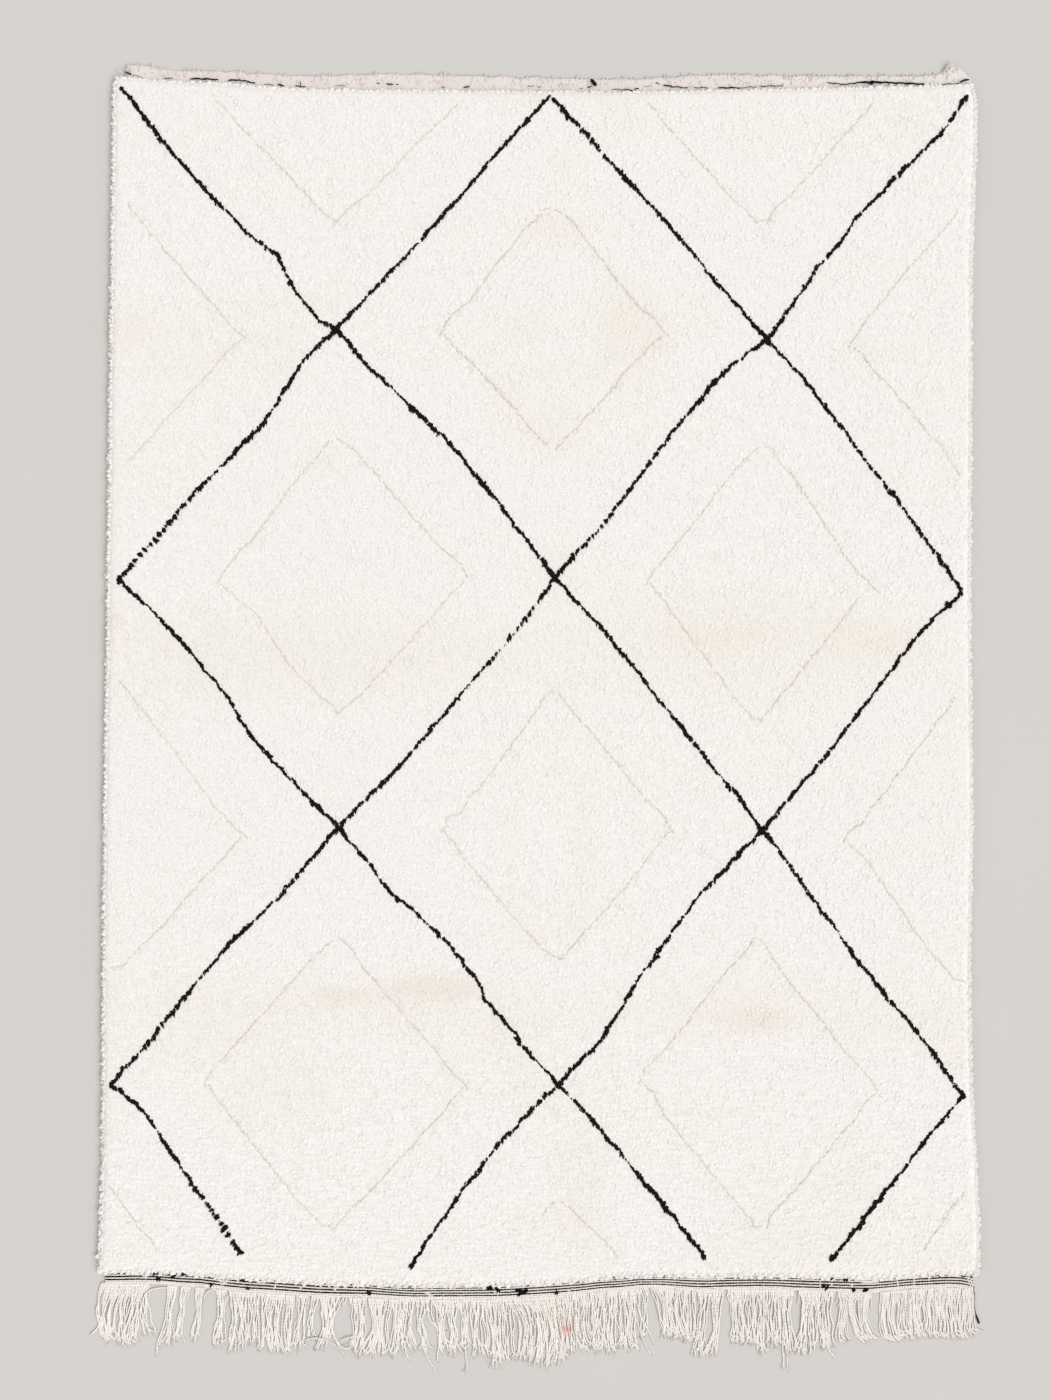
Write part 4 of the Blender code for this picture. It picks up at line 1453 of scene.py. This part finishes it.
# %% Clots and the heading's thread
PILE_FOOT = (1270, 1277)  # pixels down: what lies between them lies on the pile's last locks
Clot = namedtuple("Clot", "x y size")
CLOTS = records(Clot, [
    (156, 1272.3, 0.9), (158, 1278, 1.0), (174.5, 1274, 1.9), (184, 1273, 0.8), (189, 1273.3, 0.9),
    (212, 1284, 0.5), (242, 1279, 0.7), (248, 1288, 0.5), (369, 1292, 0.8), (489, 1287, 1.2),
    (497, 1289, 1.1), (519, 1290, 1.2), (525, 1290.5, 1.2), (522, 1293, 0.9), (557, 1292, 0.3),
    (824, 1285.5, 0.6), (827, 1287.5, 0.7), (846, 1279, 0.9), (853, 1289.5, 0.9), (866, 1289.5, 0.8),
    (834, 1277, 0.5), (800, 1277, 0.3), (872, 82.5, 0.8),
])
Thread = namedtuple("Thread", "x0 y0 x1 y1 half_width")
THREADS = records(Thread, [
    (164, 78, 173, 78.5, 0.0008), (190, 78.5, 219, 79.5, 0.0017), (228, 80.5, 241, 79.8, 0.0017),
    (240, 80.2, 256, 83.2, 0.0014), (264, 84.3, 274, 84.8, 0.0006), (278, 84.6, 284, 85.6, 0.0017),
    (295, 85.8, 306, 87, 0.0011), (300, 81, 301, 86, 0.0008), (125.6, 72.2, 131.6, 74.8, 0.0016),
    (131, 74.8, 143, 77.6, 0.0005), (335, 85.5, 346, 86, 0.0005), (376.5, 83.4, 380, 83.4, 0.0009),
    (386.5, 84, 393.5, 84.1, 0.0014), (396, 84, 399, 84.3, 0.0008), (441.5, 87.4, 445, 87.5, 0.0008),
    (463.5, 87, 470, 87.2, 0.0013), (527, 85.8, 535, 86.4, 0.0005), (538, 87.2, 541, 87.4, 0.0008),
    (579, 88.6, 584, 88.2, 0.0005), (587.5, 87.4, 592, 86.4, 0.0012), (591.4, 79.6, 596.4, 85.4, 0.0036),
    (612, 89.4, 627, 89.7, 0.0007), (625, 89.6, 633, 90.3, 0.0012), (634.5, 89.4, 639, 88.6, 0.0012),
    (643, 87.2, 652, 85.4, 0.0004), (656, 82, 659.5, 84.4, 0.0009), (663.5, 84.8, 672, 86.8, 0.0015),
    (670, 86.6, 689, 88, 0.0011), (694, 87.6, 709, 87.8, 0.0008), (717.5, 87.8, 742, 87.8, 0.0014),
    (741, 87.8, 758, 86.6, 0.0007), (759, 86.2, 784, 85.9, 0.0009), (827, 82.4, 843, 84.6, 0.0010),
    (840, 84.6, 856, 83.4, 0.0011), (852, 83.4, 868, 82, 0.0015), (862, 82, 892, 82.6, 0.0021),
    (888, 82.6, 926, 84.2, 0.0018), (928, 84, 935, 84.4, 0.0006), (938, 84.6, 961, 83.4, 0.0008),
    (960, 82, 969.5, 79.2, 0.0020), (936.5, 1275, 939.5, 1275.8, 0.0010), (931, 1276, 934, 1276.3, 0.0006),
    (960.5, 1275.5, 965, 1276.6, 0.0010), (969, 1275.4, 972, 1276.4, 0.0010),
])


def loose_threads(draw):
    """Each thread runs from one place to another with a slight wave, and is lower and thinner at both
    ends."""
    share = np.linspace(0, 1, 14)[None, :]
    x0, y0, x1, y1, half = np.array(THREADS, float).T[:, :, None]
    x_pixel = x0 + (x1 - x0) * share
    phase = draw.uniform(0, 2 * pi, (len(THREADS), 1))
    y_pixel = y0 + (y1 - y0) * share + 0.35 * np.sin(2 * pi * share * (x1 - x0) / 11.0 + phase)
    x, y = from_photo(x_pixel, y_pixel)
    z = CLOTH_TOP + 0.0034 + 0.0018 * np.sin(pi * share) ** 0.6 + ear_lift(x, y)
    z = z + 0.0060 * (y_pixel > PILE_FOOT[0])
    radii = 1.2 * half * (0.45 + 0.55 * np.sin(pi * np.clip(share, 0.02, 0.98)) ** 0.4)
    return strands(np.stack([x, y, z], axis=-1), radii, sides=5, twist=0.7, lobes=0.18)


clot_draw = np.random.default_rng(81)
clot_x, clot_y = from_photo([c.x for c in CLOTS], [c.y for c in CLOTS])
clot_places = np.repeat(np.column_stack([clot_x, clot_y]), 2, axis=0)
clot_places += clot_draw.normal(0, 0.0010, clot_places.shape)
clot_heading = unit(clot_draw.normal(0, 1, clot_places.shape) * (1.0, 0.25))
clot_size = np.repeat([0.62 * c.size for c in CLOTS], 2)
clot_floor = CLOTH_TOP + 0.0042 + ear_lift(clot_places[:, 0], clot_places[:, 1])
clot_down = np.repeat([c.y for c in CLOTS], 2)
clot_floor = clot_floor + 0.0050 * ((clot_down > PILE_FOOT[0]) & (clot_down < PILE_FOOT[1]))
clot_shape = brush(clot_places, clot_heading, clot_size, clot_draw, floor=clot_floor)
loose_shape = loose_threads(clot_draw) + clot_shape
loose_dark = make_piece("loose_dark_ends", loose_shape, near_black, "woven_rug")

# %% [markdown]
# ## The frayed heading
# The heading's cut warp ends stand out as short stubs, loops of weft stand up from it, and longer wisps
# hang at both frayed corners. They are too few for hair and too near the edge for bump, so they are
# strands.

# %% Stubs and wisps
STUB_SPACING, FLUFF_SPACING = 0.0028, 0.0040
WISPS_AN_EAR = 16


def heading_stubs(draw):
    """Short soft ends along the heading's edge, pointing away from the rug. They come and go in groups."""
    edge = cloth_top[0]
    count = int(np.ptp(edge[:, 0]) / STUB_SPACING)
    x = np.linspace(edge[0, 0], edge[-1, 0], count) + draw.uniform(-0.001, 0.001, count)
    y = np.interp(x, edge[:, 0], edge[:, 1])
    z = np.interp(x, edge[:, 0], edge[:, 2])
    group = 0.8 + 0.6 * slow_waves(x, 0 * x, 0.04, 83)
    length = draw.uniform(0.0010, 0.0056, count) * np.clip(group, 0.2, 1.8)
    lean = draw.normal(0, 0.45, count)
    base = np.column_stack([x, y - 0.0035, z - 0.0008])
    tip = base + np.column_stack([lean * length, length + 0.0035, -0.0006 - draw.uniform(0, 0.001, count)])
    middle = 0.5 * (base + tip) + (0, 0, 0.0008)
    radii = np.repeat([[0.0012, 0.0010, 0.0]], count, axis=0) * draw.uniform(0.7, 1.3, (count, 1))
    return strands(np.stack([base, middle, tip], axis=1), radii, paler=draw.uniform(0.6, 1.2, count))


def heading_fluff(draw):
    """Small loose loops of weft on the heading itself: low arches at random places on the strip."""
    count = int(PILE_WIDTH / FLUFF_SPACING)
    u, v = draw.uniform(0.012, 0.988, count), draw.uniform(0.04, 0.95, count) ** 1.3
    x, y = field(u, v, "heading_edge", "pile_start", HEADING_INSET)
    heading = draw.normal(pi / 2, 0.7, count)
    reach = draw.uniform(0.0030, 0.0064, count)
    step = np.column_stack([np.cos(heading) * reach, np.sin(heading) * reach, 0 * reach])
    base = np.column_stack([x, y, np.full(count, CLOTH_TOP - 0.0008)])
    middle = base + step + np.array([0, 0, 1.0]) * draw.uniform(0.0012, 0.0026, (count, 1))
    tip = base + 2 * step + (0, 0, 0.0004)
    radii = np.repeat([[0.0016, 0.0020, 0.0]], count, axis=0) * draw.uniform(0.7, 1.3, (count, 1))
    return strands(np.stack([base, middle, tip], axis=1), radii, paler=draw.uniform(0.4, 1.2, count))


def ear_wisps(draw):
    """Frayed ends at the heading's corners: thin curls from the ear's middle, up, over and outwards. The
    angle changes evenly along a wisp, so it is an arc of a circle."""
    share = np.linspace(0, 1, 9)[None, :]
    shape = None
    for ear, toward in zip(EARS, (-0.3, -0.9)):
        x0, y0 = from_photo(ear.x, ear.y)
        heading = draw.normal(pi / 2 - toward, 0.9, (WISPS_AN_EAR, 1))
        length = draw.uniform(0.008, 0.020, (WISPS_AN_EAR, 1))
        curl = draw.normal(0, 1.6, (WISPS_AN_EAR, 1))
        start_x = x0 + draw.normal(0, 0.008, (WISPS_AN_EAR, 1))
        start_y = y0 - 0.010 + draw.normal(0, 0.005, (WISPS_AN_EAR, 1))
        angle = heading + curl * share
        step = length / 8
        x = start_x + np.cumsum(np.cos(angle) * step, axis=1) - np.cos(angle[:, :1]) * step
        y = start_y + np.cumsum(np.sin(angle) * step, axis=1) - np.sin(angle[:, :1]) * step
        rise = draw.uniform(0.002, 0.007, (WISPS_AN_EAR, 1))
        z = CLOTH_TOP + 0.001 + rise * np.sin(pi * (0.15 + 0.8 * share))
        radii = draw.uniform(0.0010, 0.0017, (WISPS_AN_EAR, 1)) * (1 - 0.5 * share)
        z = z + 0.6 * ear_lift(x, y)
        paler = draw.uniform(0.8, 1.3, WISPS_AN_EAR)
        made = strands(np.stack([x, y, z], axis=-1), radii, sides=4, paler=paler)
        shape = made if shape is None else shape + made
    return shape


fray_draw = np.random.default_rng(82)
fray_shape = heading_stubs(fray_draw) + heading_fluff(fray_draw) + ear_wisps(fray_draw)
frayed_ends = make_piece(
    "frayed_heading_ends", fray_shape, ribbed_weave, "woven_rug", rounded=False
)

# %% [markdown]
# ## The fringe
# The warp ends leave the cloth one by one, are gathered into bundles, and fan out again where they have
# come untwisted. A simulation could drop them on the floor, but it wouldn't lay each bundle where it lies
# here. So each row of the table is one bundle as it lies: where it starts, where it ends, how many strands
# it has and how wide it fans. A strand is two plies, so its profile has two lobes that turn along it.

# %% Bundles
Bundle = namedtuple("Bundle", "root root_half middle end end_half foot strands")
BUNDLES = records(Bundle, [
    (106, 3, 100.5, 107, 4, 1343, 5), (107, 0, 104, 91, 0, 1337, 1), (113, 4, 106, 104, 5, 1343, 6),
    (121, 4, 112.5, 109, 4, 1342, 6), (129.5, 4, 121.5, 120, 4, 1344, 6), (137, 4, 129.5, 127, 4, 1349, 6),
    (143, 3, 136.5, 134, 3, 1342, 5), (146, 2, 143, 148, 3, 1339, 4), (146, 0, 148, 156, 0, 1333, 1),
    (172, 4, 169, 165, 7, 1347, 6), (170, 0, 164, 153.5, 0, 1357, 1), (186, 4, 180.5, 177, 4, 1343, 5),
    (200, 4, 198, 192, 5, 1342, 5), (220, 4, 221, 217, 9, 1347, 7), (235, 4, 234, 233, 5, 1353, 6),
    (243, 4, 242, 242, 4, 1349, 6), (254, 4, 253, 253, 5, 1345, 6), (265, 3.5, 262, 264, 4, 1352, 5),
    (272, 4, 270, 270, 5, 1354, 6), (280, 3, 278, 279, 5, 1356, 5), (290, 3, 289, 287, 4, 1355, 5),
    (302, 3, 298, 294, 4, 1351, 4), (306, 1, 303.5, 304, 0.5, 1352, 2), (317, 2.5, 310, 313, 3, 1342, 3),
    (323, 3, 325, 319, 4, 1352, 5), (329, 6, 329, 324, 3, 1345, 6), (342, 3, 332, 343, 1, 1358, 2),
    (355, 3, 356, 351, 3, 1351, 4), (362, 3, 361.5, 358, 4, 1356, 5), (374, 4, 374, 368, 6, 1357, 7),
    (380, 2.5, 378, 377, 2, 1355, 4), (387, 4, 383.5, 383, 3, 1358, 5), (393, 3, 396.5, 391, 3, 1358, 4),
    (401, 4, 400, 398, 3, 1351, 5), (401, 0, 400, 409.6, 0, 1360, 1), (410, 4, 408, 412, 6, 1352, 6),
    (422, 4, 421, 426, 3, 1352, 5), (423, 0, 421, 437.5, 0, 1375, 1), (430, 1.5, 431, 440, 1, 1338, 2),
    (440, 5, 441, 445, 5, 1355, 8), (441, 0, 441, 436.5, 0, 1362, 1), (452, 4, 452, 454, 5, 1356, 6),
    (460, 3, 463.5, 463, 3, 1352, 4), (460, 0, 464.5, 468, 0, 1374, 1), (470, 3, 469.5, 472, 4, 1351, 5),
    (480, 4, 477, 482, 5, 1359, 6), (485, 3, 488, 489, 4, 1357, 5), (492, 3, 494.5, 496.5, 3, 1370, 5),
    (499, 3, 499.5, 504, 3, 1366, 4), (507, 3, 508.5, 510, 4, 1361, 4), (512, 5, 522, 521, 4, 1361, 6),
    (520, 5, 530, 527, 5, 1362, 7), (528, 5, 539, 536, 5, 1366, 7), (537, 5, 546.5, 543, 5, 1368, 7),
    (546, 5, 554, 551, 5, 1367, 7), (554, 5, 560, 559, 5, 1365, 7), (562, 5, 566, 568, 6, 1352, 7),
    (571, 4, 573, 578, 6, 1353, 5), (579, 4, 580, 584, 6, 1355, 5), (587, 4, 588, 593, 6, 1350, 5),
    (596, 4, 597, 599, 5, 1352, 6), (604, 4, 605, 606, 5, 1355, 6), (612, 3, 612, 612, 4, 1354, 5),
    (620, 3.5, 621, 623, 4, 1352, 6), (628, 4, 628, 631, 4, 1349, 7), (634, 2, 633, 636, 2, 1356, 3),
    (632, 0, 641, 654.8, 0, 1344, 1), (630, 0, 636, 651.6, 0, 1355, 1), (642, 3, 645, 641, 3, 1338, 4),
    (656, 4, 663, 667, 3, 1338, 6), (665, 4, 669, 671, 3, 1339, 6), (673, 5, 674, 680, 6, 1342, 7),
    (682, 4, 682, 689, 5, 1342, 6), (691, 4, 691, 693, 4, 1343, 6), (704, 4, 703, 697.5, 5, 1359, 7),
    (717, 4, 716, 710, 5, 1357, 7), (734, 4, 735, 735, 5, 1345, 7), (743, 4, 743, 743, 5, 1345, 7),
    (752, 4, 752, 754, 4, 1347, 7), (761, 4, 762, 762, 4, 1355, 7), (770, 4, 770, 771, 5, 1347, 7),
    (779, 4, 779, 779, 4, 1347, 6), (784, 0, 784, 783, 0, 1369, 1), (786, 0, 786, 787, 0, 1372, 1),
    (788, 3.5, 788, 793, 6, 1355, 7), (805.5, 4, 806, 801, 6, 1357, 7), (813.5, 2.5, 812.5, 813, 4, 1350, 5),
    (821, 4, 820, 825, 6, 1352, 7), (818, 0, 822, 833, 0, 1360, 1), (829, 3.5, 826, 831, 4, 1347, 6),
    (845, 4.5, 844, 841, 5, 1345, 7), (856, 3.5, 852.5, 865, 4, 1343, 6), (863.5, 3, 861.5, 870, 4, 1343, 5),
    (869, 2, 866, 873, 2, 1341, 4), (886, 3, 883.5, 887, 4, 1344, 6), (893, 3.5, 892, 895, 3, 1344, 5),
    (901, 4, 901, 902, 4, 1340, 6), (909.5, 4, 909.5, 911, 4, 1341, 6), (918, 4, 918, 919, 4, 1340, 6),
    (927, 4, 927, 928, 4, 1338, 6), (936, 4, 936, 938, 4, 1341, 6), (945, 4, 945, 946, 4, 1339, 6),
    (954, 4, 954, 954, 4, 1340, 6), (963, 4, 963, 964, 4, 1341, 6), (970.5, 3, 970.5, 971, 4, 1338, 5),
])
Stray = namedtuple("Stray", "x0 y0 x1 y1 x2 y2")
STRAYS = records(Stray, [
    (217, 1291, 208, 1291.5, 203, 1301), (168, 1288.5, 145.5, 1294, 146, 1316),
    (304, 1341, 322, 1339, 338, 1349), (340, 1341, 348, 1338, 356, 1337), (495, 1301, 501, 1309, 508, 1314),
])
STRAND_HALF_WIDTH = 0.00205
STRAND_STATIONS = 19
WISPS_A_TIP = 3
FULL_TO = 470  # to the left of this pixel the strands are fuller and paler
LOOSE_AT = (148, 160, 205, 235, 470, 505)  # pixels across, for the next row's shares
LOOSENESS = (0.8, 0.1, 0.1, 0.75, 0.8, 1.0)  # 0 where the bundles are ropes, 1 where their strands lie loose
CALM_FROM = 838  # to the right of this pixel the strands lie side by side, and their ends hook to the right
BLUSH = Spot(567, 1330, 6)  # a faint reddish spot on the fringe
Gap = namedtuple("Gap", "left right")
GAPS = records(Gap, [(149, 165), (205, 215), (649, 656), (722, 729), (793, 799), (834, 838), (872, 882)])
WEB_PITCH = 2.4  # pixels between the short ends just below the cloth


def through_three(first, middle, last, s):
    """The parabola that passes `first` at s = 0, `middle` at s = 0.5 and `last` at s = 1."""
    return first * (1 - s) * (1 - 2 * s) + middle * 4 * s * (1 - s) + last * s * (2 * s - 1)


def fringe_strands(draw):
    """Every strand of every bundle, root to end. With s the share of its length, the bundle's middle line
    is a parabola through its three charted places. A strand starts at its own warp, closes on the middle
    line by s = 0.52 and leaves it again from s = 0.5. It sways in two small waves of its own and one of its
    bundle, and curls at its end. Bundles of more than two strands get one more, for the ones that can't be
    counted."""
    s = np.linspace(0, 1, STRAND_STATIONS)[None, :]
    paths, radii, locks_of_strands = [], [], []
    for bundle in BUNDLES:
        count = bundle.strands + (1 if bundle.strands > 2 else 0)
        order = np.linspace(-1, 1, count)[:, None] if count > 1 else np.zeros((1, 1))
        far_order = np.clip(0.95 * order + draw.normal(0, 0.40, (count, 1)), -1.5, 1.5)
        calm = 1.0 if bundle.root > CALM_FROM else 0.0
        mixed = 0.4 * (1 - calm)
        shuffled = draw.permutation(count)[:, None] / max(count - 1, 1) * 2 - 1
        near_order = (1 - mixed) * order + mixed * shuffled
        loose = np.interp(bundle.root, LOOSE_AT, LOOSENESS)
        root_half = min(bundle.root_half * (1 + 0.45 * loose), 1.30 * count) if count > 1 else 0.0
        root_x, _ = from_photo(bundle.root + order * root_half, 0)
        edge_y = np.interp(root_x, cloth_top[-1, :, 0], cloth_top[-1, :, 1])
        root_y = edge_y + 0.0035
        short = draw.uniform(-1.0, 5.0, (count, 1)) * (count > 1)
        _, foot_y = from_photo(0, bundle.foot - short)
        middle_line = through_three(bundle.root, bundle.middle, bundle.end, s)
        gather, fan = 1 - ease(s / 0.52), ease((s - 0.5) / 0.5)
        tight = min((0.40 + 0.45 * loose) * root_half + (0.09 + 0.09 * loose) * count, 5.0)
        tight = (tight * (1 - calm) + 0.82 * bundle.root_half * calm) * (count > 1)
        spread = order * root_half * gather + far_order * bundle.end_half * fan
        spread = spread + near_order * tight * (1 - gather) * (1 - fan)
        waves = draw.uniform(1.0, 2.6, (2, count, 1))
        phases = draw.uniform(0, 2 * pi, (2, count, 1))
        sway = 0.75 * np.sin(2 * pi * waves[0] * s + phases[0])
        sway = sway + 0.30 * np.sin(4 * pi * waves[1] * s + phases[1])
        swing = draw.uniform((0.7, 0), (1.4, 2 * pi))
        sway = sway * (1 - 0.6 * calm) + 0.9 * (count > 1) * np.sin(2 * pi * swing[0] * s + swing[1])
        hook = draw.normal(1.8, 1.2) * calm
        unruly = 2.6 - 1.6 * calm - 1.4 * (count == 1)
        curl = draw.normal(hook, unruly, (count, 1)) * np.clip((s - 0.84) / 0.16, 0, 1) ** 2
        x, _ = from_photo(middle_line + spread + sway * ease(s / 0.2) + curl, 0)
        y = root_y + (foot_y - root_y) * (s - 0.03 * np.abs(curl) / 2.6)
        level = draw.uniform(0, 1, (count, 1))
        crowded = np.exp(-(((s - 0.42) / 0.25) ** 2))
        lowest = STRAND_HALF_WIDTH * 0.70
        z = lowest + STRAND_HALF_WIDTH * level * (0.5 + 0.9 * crowded * min(count / 5, 1.2))
        z = z + (CLOTH_TOP - 0.0008 - z) * (1 - ease(s / 0.10)) + 0.0012 * np.clip(curl * 0.3, 0, 1)
        paths.append(np.stack([x, y, z], axis=-1))
        full = 1.0 if bundle.root < FULL_TO else 0.0
        size = STRAND_HALF_WIDTH * draw.uniform(0.80, 1.15, (count, 1)) * (1 + 0.11 * full)
        radii.append(size * (1 - 0.30 * np.clip((s - 0.9) / 0.1, 0, 1) + 0.35 * (1 - ease(s / 0.14))))
        locks_of_strands.append(draw.uniform(0, 1, count) - 0.6 * full)
    return np.concatenate(paths), np.concatenate(radii), np.concatenate(locks_of_strands)


def stray_paths(draw):
    """Strands that lie across the others, each a parabola through three charted places."""
    x0, y0, x1, y1, x2, y2 = np.array(STRAYS, float).T[:, :, None]
    s = np.linspace(0, 1, STRAND_STATIONS)[None, :]
    x, y = from_photo(through_three(x0, x1, x2, s), through_three(y0, y1, y2, s))
    z = np.full(x.shape, 0.0062) - 0.0035 * ease(2 * np.abs(s - 0.5))
    radii = np.full(x.shape, STRAND_HALF_WIDTH * 0.9)
    return np.stack([x, y, z], axis=-1), radii, draw.uniform(0, 1, len(x))


def web_paths(draw):
    """Short warp ends just below the cloth. They slant either way and lie across each other as a loose web,
    except in the charted gaps."""
    root = np.arange(LOWEST_ROW[0].across + 1, LOWEST_ROW[-1].across - 1, WEB_PITCH)
    root = root + draw.uniform(-0.8, 0.8, len(root))
    wanted = draw.uniform(0, 1, len(root)) < np.interp(root, LOOSE_AT, LOOSENESS)
    wanted &= [not any(gap.left < place < gap.right for gap in GAPS) for place in root]
    root = root[wanted][:, None]
    s = np.linspace(0, 1, 7)[None, :]
    long = draw.uniform(7, 19, root.shape)
    lean = draw.normal(0, 0.28, root.shape)
    wave = 0.7 * np.sin(2 * pi * draw.uniform(0.6, 1.5, root.shape) * s + draw.uniform(0, 6, root.shape)) * s
    x, _ = from_photo(root + lean * long * s + wave, 0)
    edge_y = np.interp(x[:, :1], cloth_top[-1, :, 0], cloth_top[-1, :, 1])
    y = edge_y + 0.0030 - long * PIXEL * s
    z = 0.0018 + (CLOTH_TOP - 0.0030) * (1 - ease(s / 0.3)) + draw.uniform(0, 0.0012, root.shape)
    radii = draw.uniform(0.0015, 0.0022, root.shape) * (1 - 0.45 * s)
    return np.stack([x, y, z], axis=-1), radii, draw.uniform(0, 1, len(root))


def fringe_threads(draw):
    """All strands as two plies twisted: the profile has two lobes and turns 52 degrees at each station."""
    paths, radii, shades = [np.concatenate(pair) for pair in zip(fringe_strands(draw), stray_paths(draw))]
    print("strands in the fringe", len(paths))
    spot_x, spot_y = from_photo(BLUSH.x, BLUSH.y)
    away = np.hypot(paths[..., 0] - spot_x, paths[..., 1] - spot_y) / (BLUSH.reach * PIXEL)
    roll = draw.uniform(0, 2 * pi, len(paths))
    shape = strands(
        paths, radii, sides=6, roll=roll, flat=0.62, twist=radians(52), lobes=0.10, pointed=False,
        lock=shades, blush=np.exp(-(away**2)),
    )
    web, web_radii, web_shades = web_paths(draw)
    shape = shape + strands(web, web_radii, sides=4, lock=web_shades, blush=np.zeros(len(web)))
    shape = shape + tip_wisps(paths, draw)
    shape.points[:, 2] = np.maximum(shape.points[:, 2], 0.0002)
    return shape


def tip_wisps(paths, draw):
    """Where a strand ends, its plies have come apart: thin wisps fan out from the last sixth of each. A
    wisp leaves along its strand and bends to a direction turned by a random angle."""
    start, end = [np.repeat(paths[:, k], WISPS_A_TIP, axis=0) for k in (-4, -1)]
    count = len(start)
    along = unit(end - start)
    turn = draw.normal(0, 0.45, count)
    fanned = np.column_stack(
        [
            along[:, 0] * np.cos(turn) - along[:, 1] * np.sin(turn),
            along[:, 0] * np.sin(turn) + along[:, 1] * np.cos(turn),
            0 * turn,
        ]
    )
    length = draw.uniform(0.009, 0.020, count)[:, None]
    root = start + (end - start) * draw.uniform(0.3, 0.8, (count, 1))
    knee = root + 0.45 * length * unit(along + fanned)
    tip = knee + 0.55 * length * fanned
    tip[:, 2] = draw.uniform(0.0008, 0.0026, count)
    wisps = np.stack([root, 0.5 * (root + knee), knee, tip], axis=1)
    radii = draw.uniform(0.0010, 0.0016, (count, 1)) * np.array([[1.0, 1.0, 0.85, 0.0]])
    return strands(wisps, radii, lock=draw.uniform(0, 1, count), blush=np.zeros(count))


fringe_shape = fringe_threads(np.random.default_rng(91))
fringe = make_piece("warp_fringe", fringe_shape, cream_warp, "end_fringe")

# %% [markdown]
# One dark end hangs at the fringe's right-hand corner, thin at first and thick where it is knotted. Curves
# and a bevel would do for one thread, but the same strands do too.

# %% Dark corner thread
CORNER_THREAD = [(974, 1287), (975, 1297), (974.6, 1306), (976.5, 1315), (979.5, 1324)]


def corner_thread():
    """A thin dark yarn along a few charted places, smoothed by a cubic through them."""
    Place = namedtuple("Place", "share x y")
    table = [Place(i / (len(CORNER_THREAD) - 1), x, y) for i, (x, y) in enumerate(CORNER_THREAD)]
    share = np.linspace(0, 1, 20)
    x, y = from_photo(smooth(table, "x", share), smooth(table, "y", share))
    z = 0.0030 + 0.0020 * np.exp(-share * 6)
    radii = 0.0008 + 0.0014 * ease((share - 0.74) / 0.10)
    return strands(np.stack([x, y, z], axis=-1)[None], radii[None], sides=5, pointed=False)


corner_dark = make_piece("dark_corner_thread", corner_thread(), near_black, "end_fringe")

# %% [markdown]
# ## The cloth on the floor
# The woven cloth was woven flat and lies flat on the floor, and everything tied or stitched into it goes
# with it.

# %% [markdown]
# ## Floor and light
# The floor is plain and pale. The light is broad and comes from above, a little from the right, so the
# fringe and the pile's left side have soft narrow shadows and the wool stays bright.

# %% Floor
FLOOR_HALF = 30.0
FLOOR_GREY, FLOOR_PALER = (0.515, 0.502, 0.485), (0.545, 0.530, 0.510)


def floor_finish():
    """Pale grey, with very slight clouding."""
    finish = Finish("pale floor", Roughness=0.85, Specular_IOR_Level=0.2)
    cloud = finish.noise(1.3, 4.0, 0.6)
    finish.colour(finish.mix(cloud, FLOOR_GREY, FLOOR_PALER))
    return finish.material


floor_mesh = bpy.data.meshes.new("floor")
floor_corners = [(x * FLOOR_HALF, y * FLOOR_HALF, 0) for x, y in ((-1, -1), (1, -1), (1, 1), (-1, 1))]
floor_mesh.from_pydata(floor_corners, [], [(0, 1, 2, 3)])
floor_mesh.materials.append(floor_finish())
floor = bpy.data.objects.new("floor", floor_mesh)
bpy.context.scene.collection.objects.link(floor)
floor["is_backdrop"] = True

# %% Light
KEY_STRENGTH, KEY_SOFTNESS, KEY_TILT, KEY_SIDE = 2.1, radians(50), radians(34), radians(62)
SKY_STRENGTH, SKY_COLOUR = 0.72, (1.0, 0.995, 0.985, 1.0)

key = bpy.data.lights.new("broad key light", "SUN")
key.energy = KEY_STRENGTH
key.angle = KEY_SOFTNESS
key_light = bpy.data.objects.new("broad key light", key)
key_light.rotation_euler = (KEY_TILT, 0.0, KEY_SIDE)
bpy.context.scene.collection.objects.link(key_light)
world = bpy.data.worlds.new("studio")
bpy.context.scene.world = world
world.use_nodes = True
world.node_tree.nodes["Background"].inputs["Color"].default_value = SKY_COLOUR
world.node_tree.nodes["Background"].inputs["Strength"].default_value = SKY_STRENGTH
bpy.context.scene.view_settings.view_transform = "Standard"
bpy.context.scene.view_settings.look = "None"

# %% Sizes
low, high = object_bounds()
print("triangles in all", sum(TRIANGLES.values()))
below = [round((cad - visual) * 1000, 1) for cad, visual in zip(CAD_LOW, low)]
above = [round((visual - cad) * 1000, 1) for cad, visual in zip(CAD_HIGH, high)]
print("over the CAD box, mm", below, above)
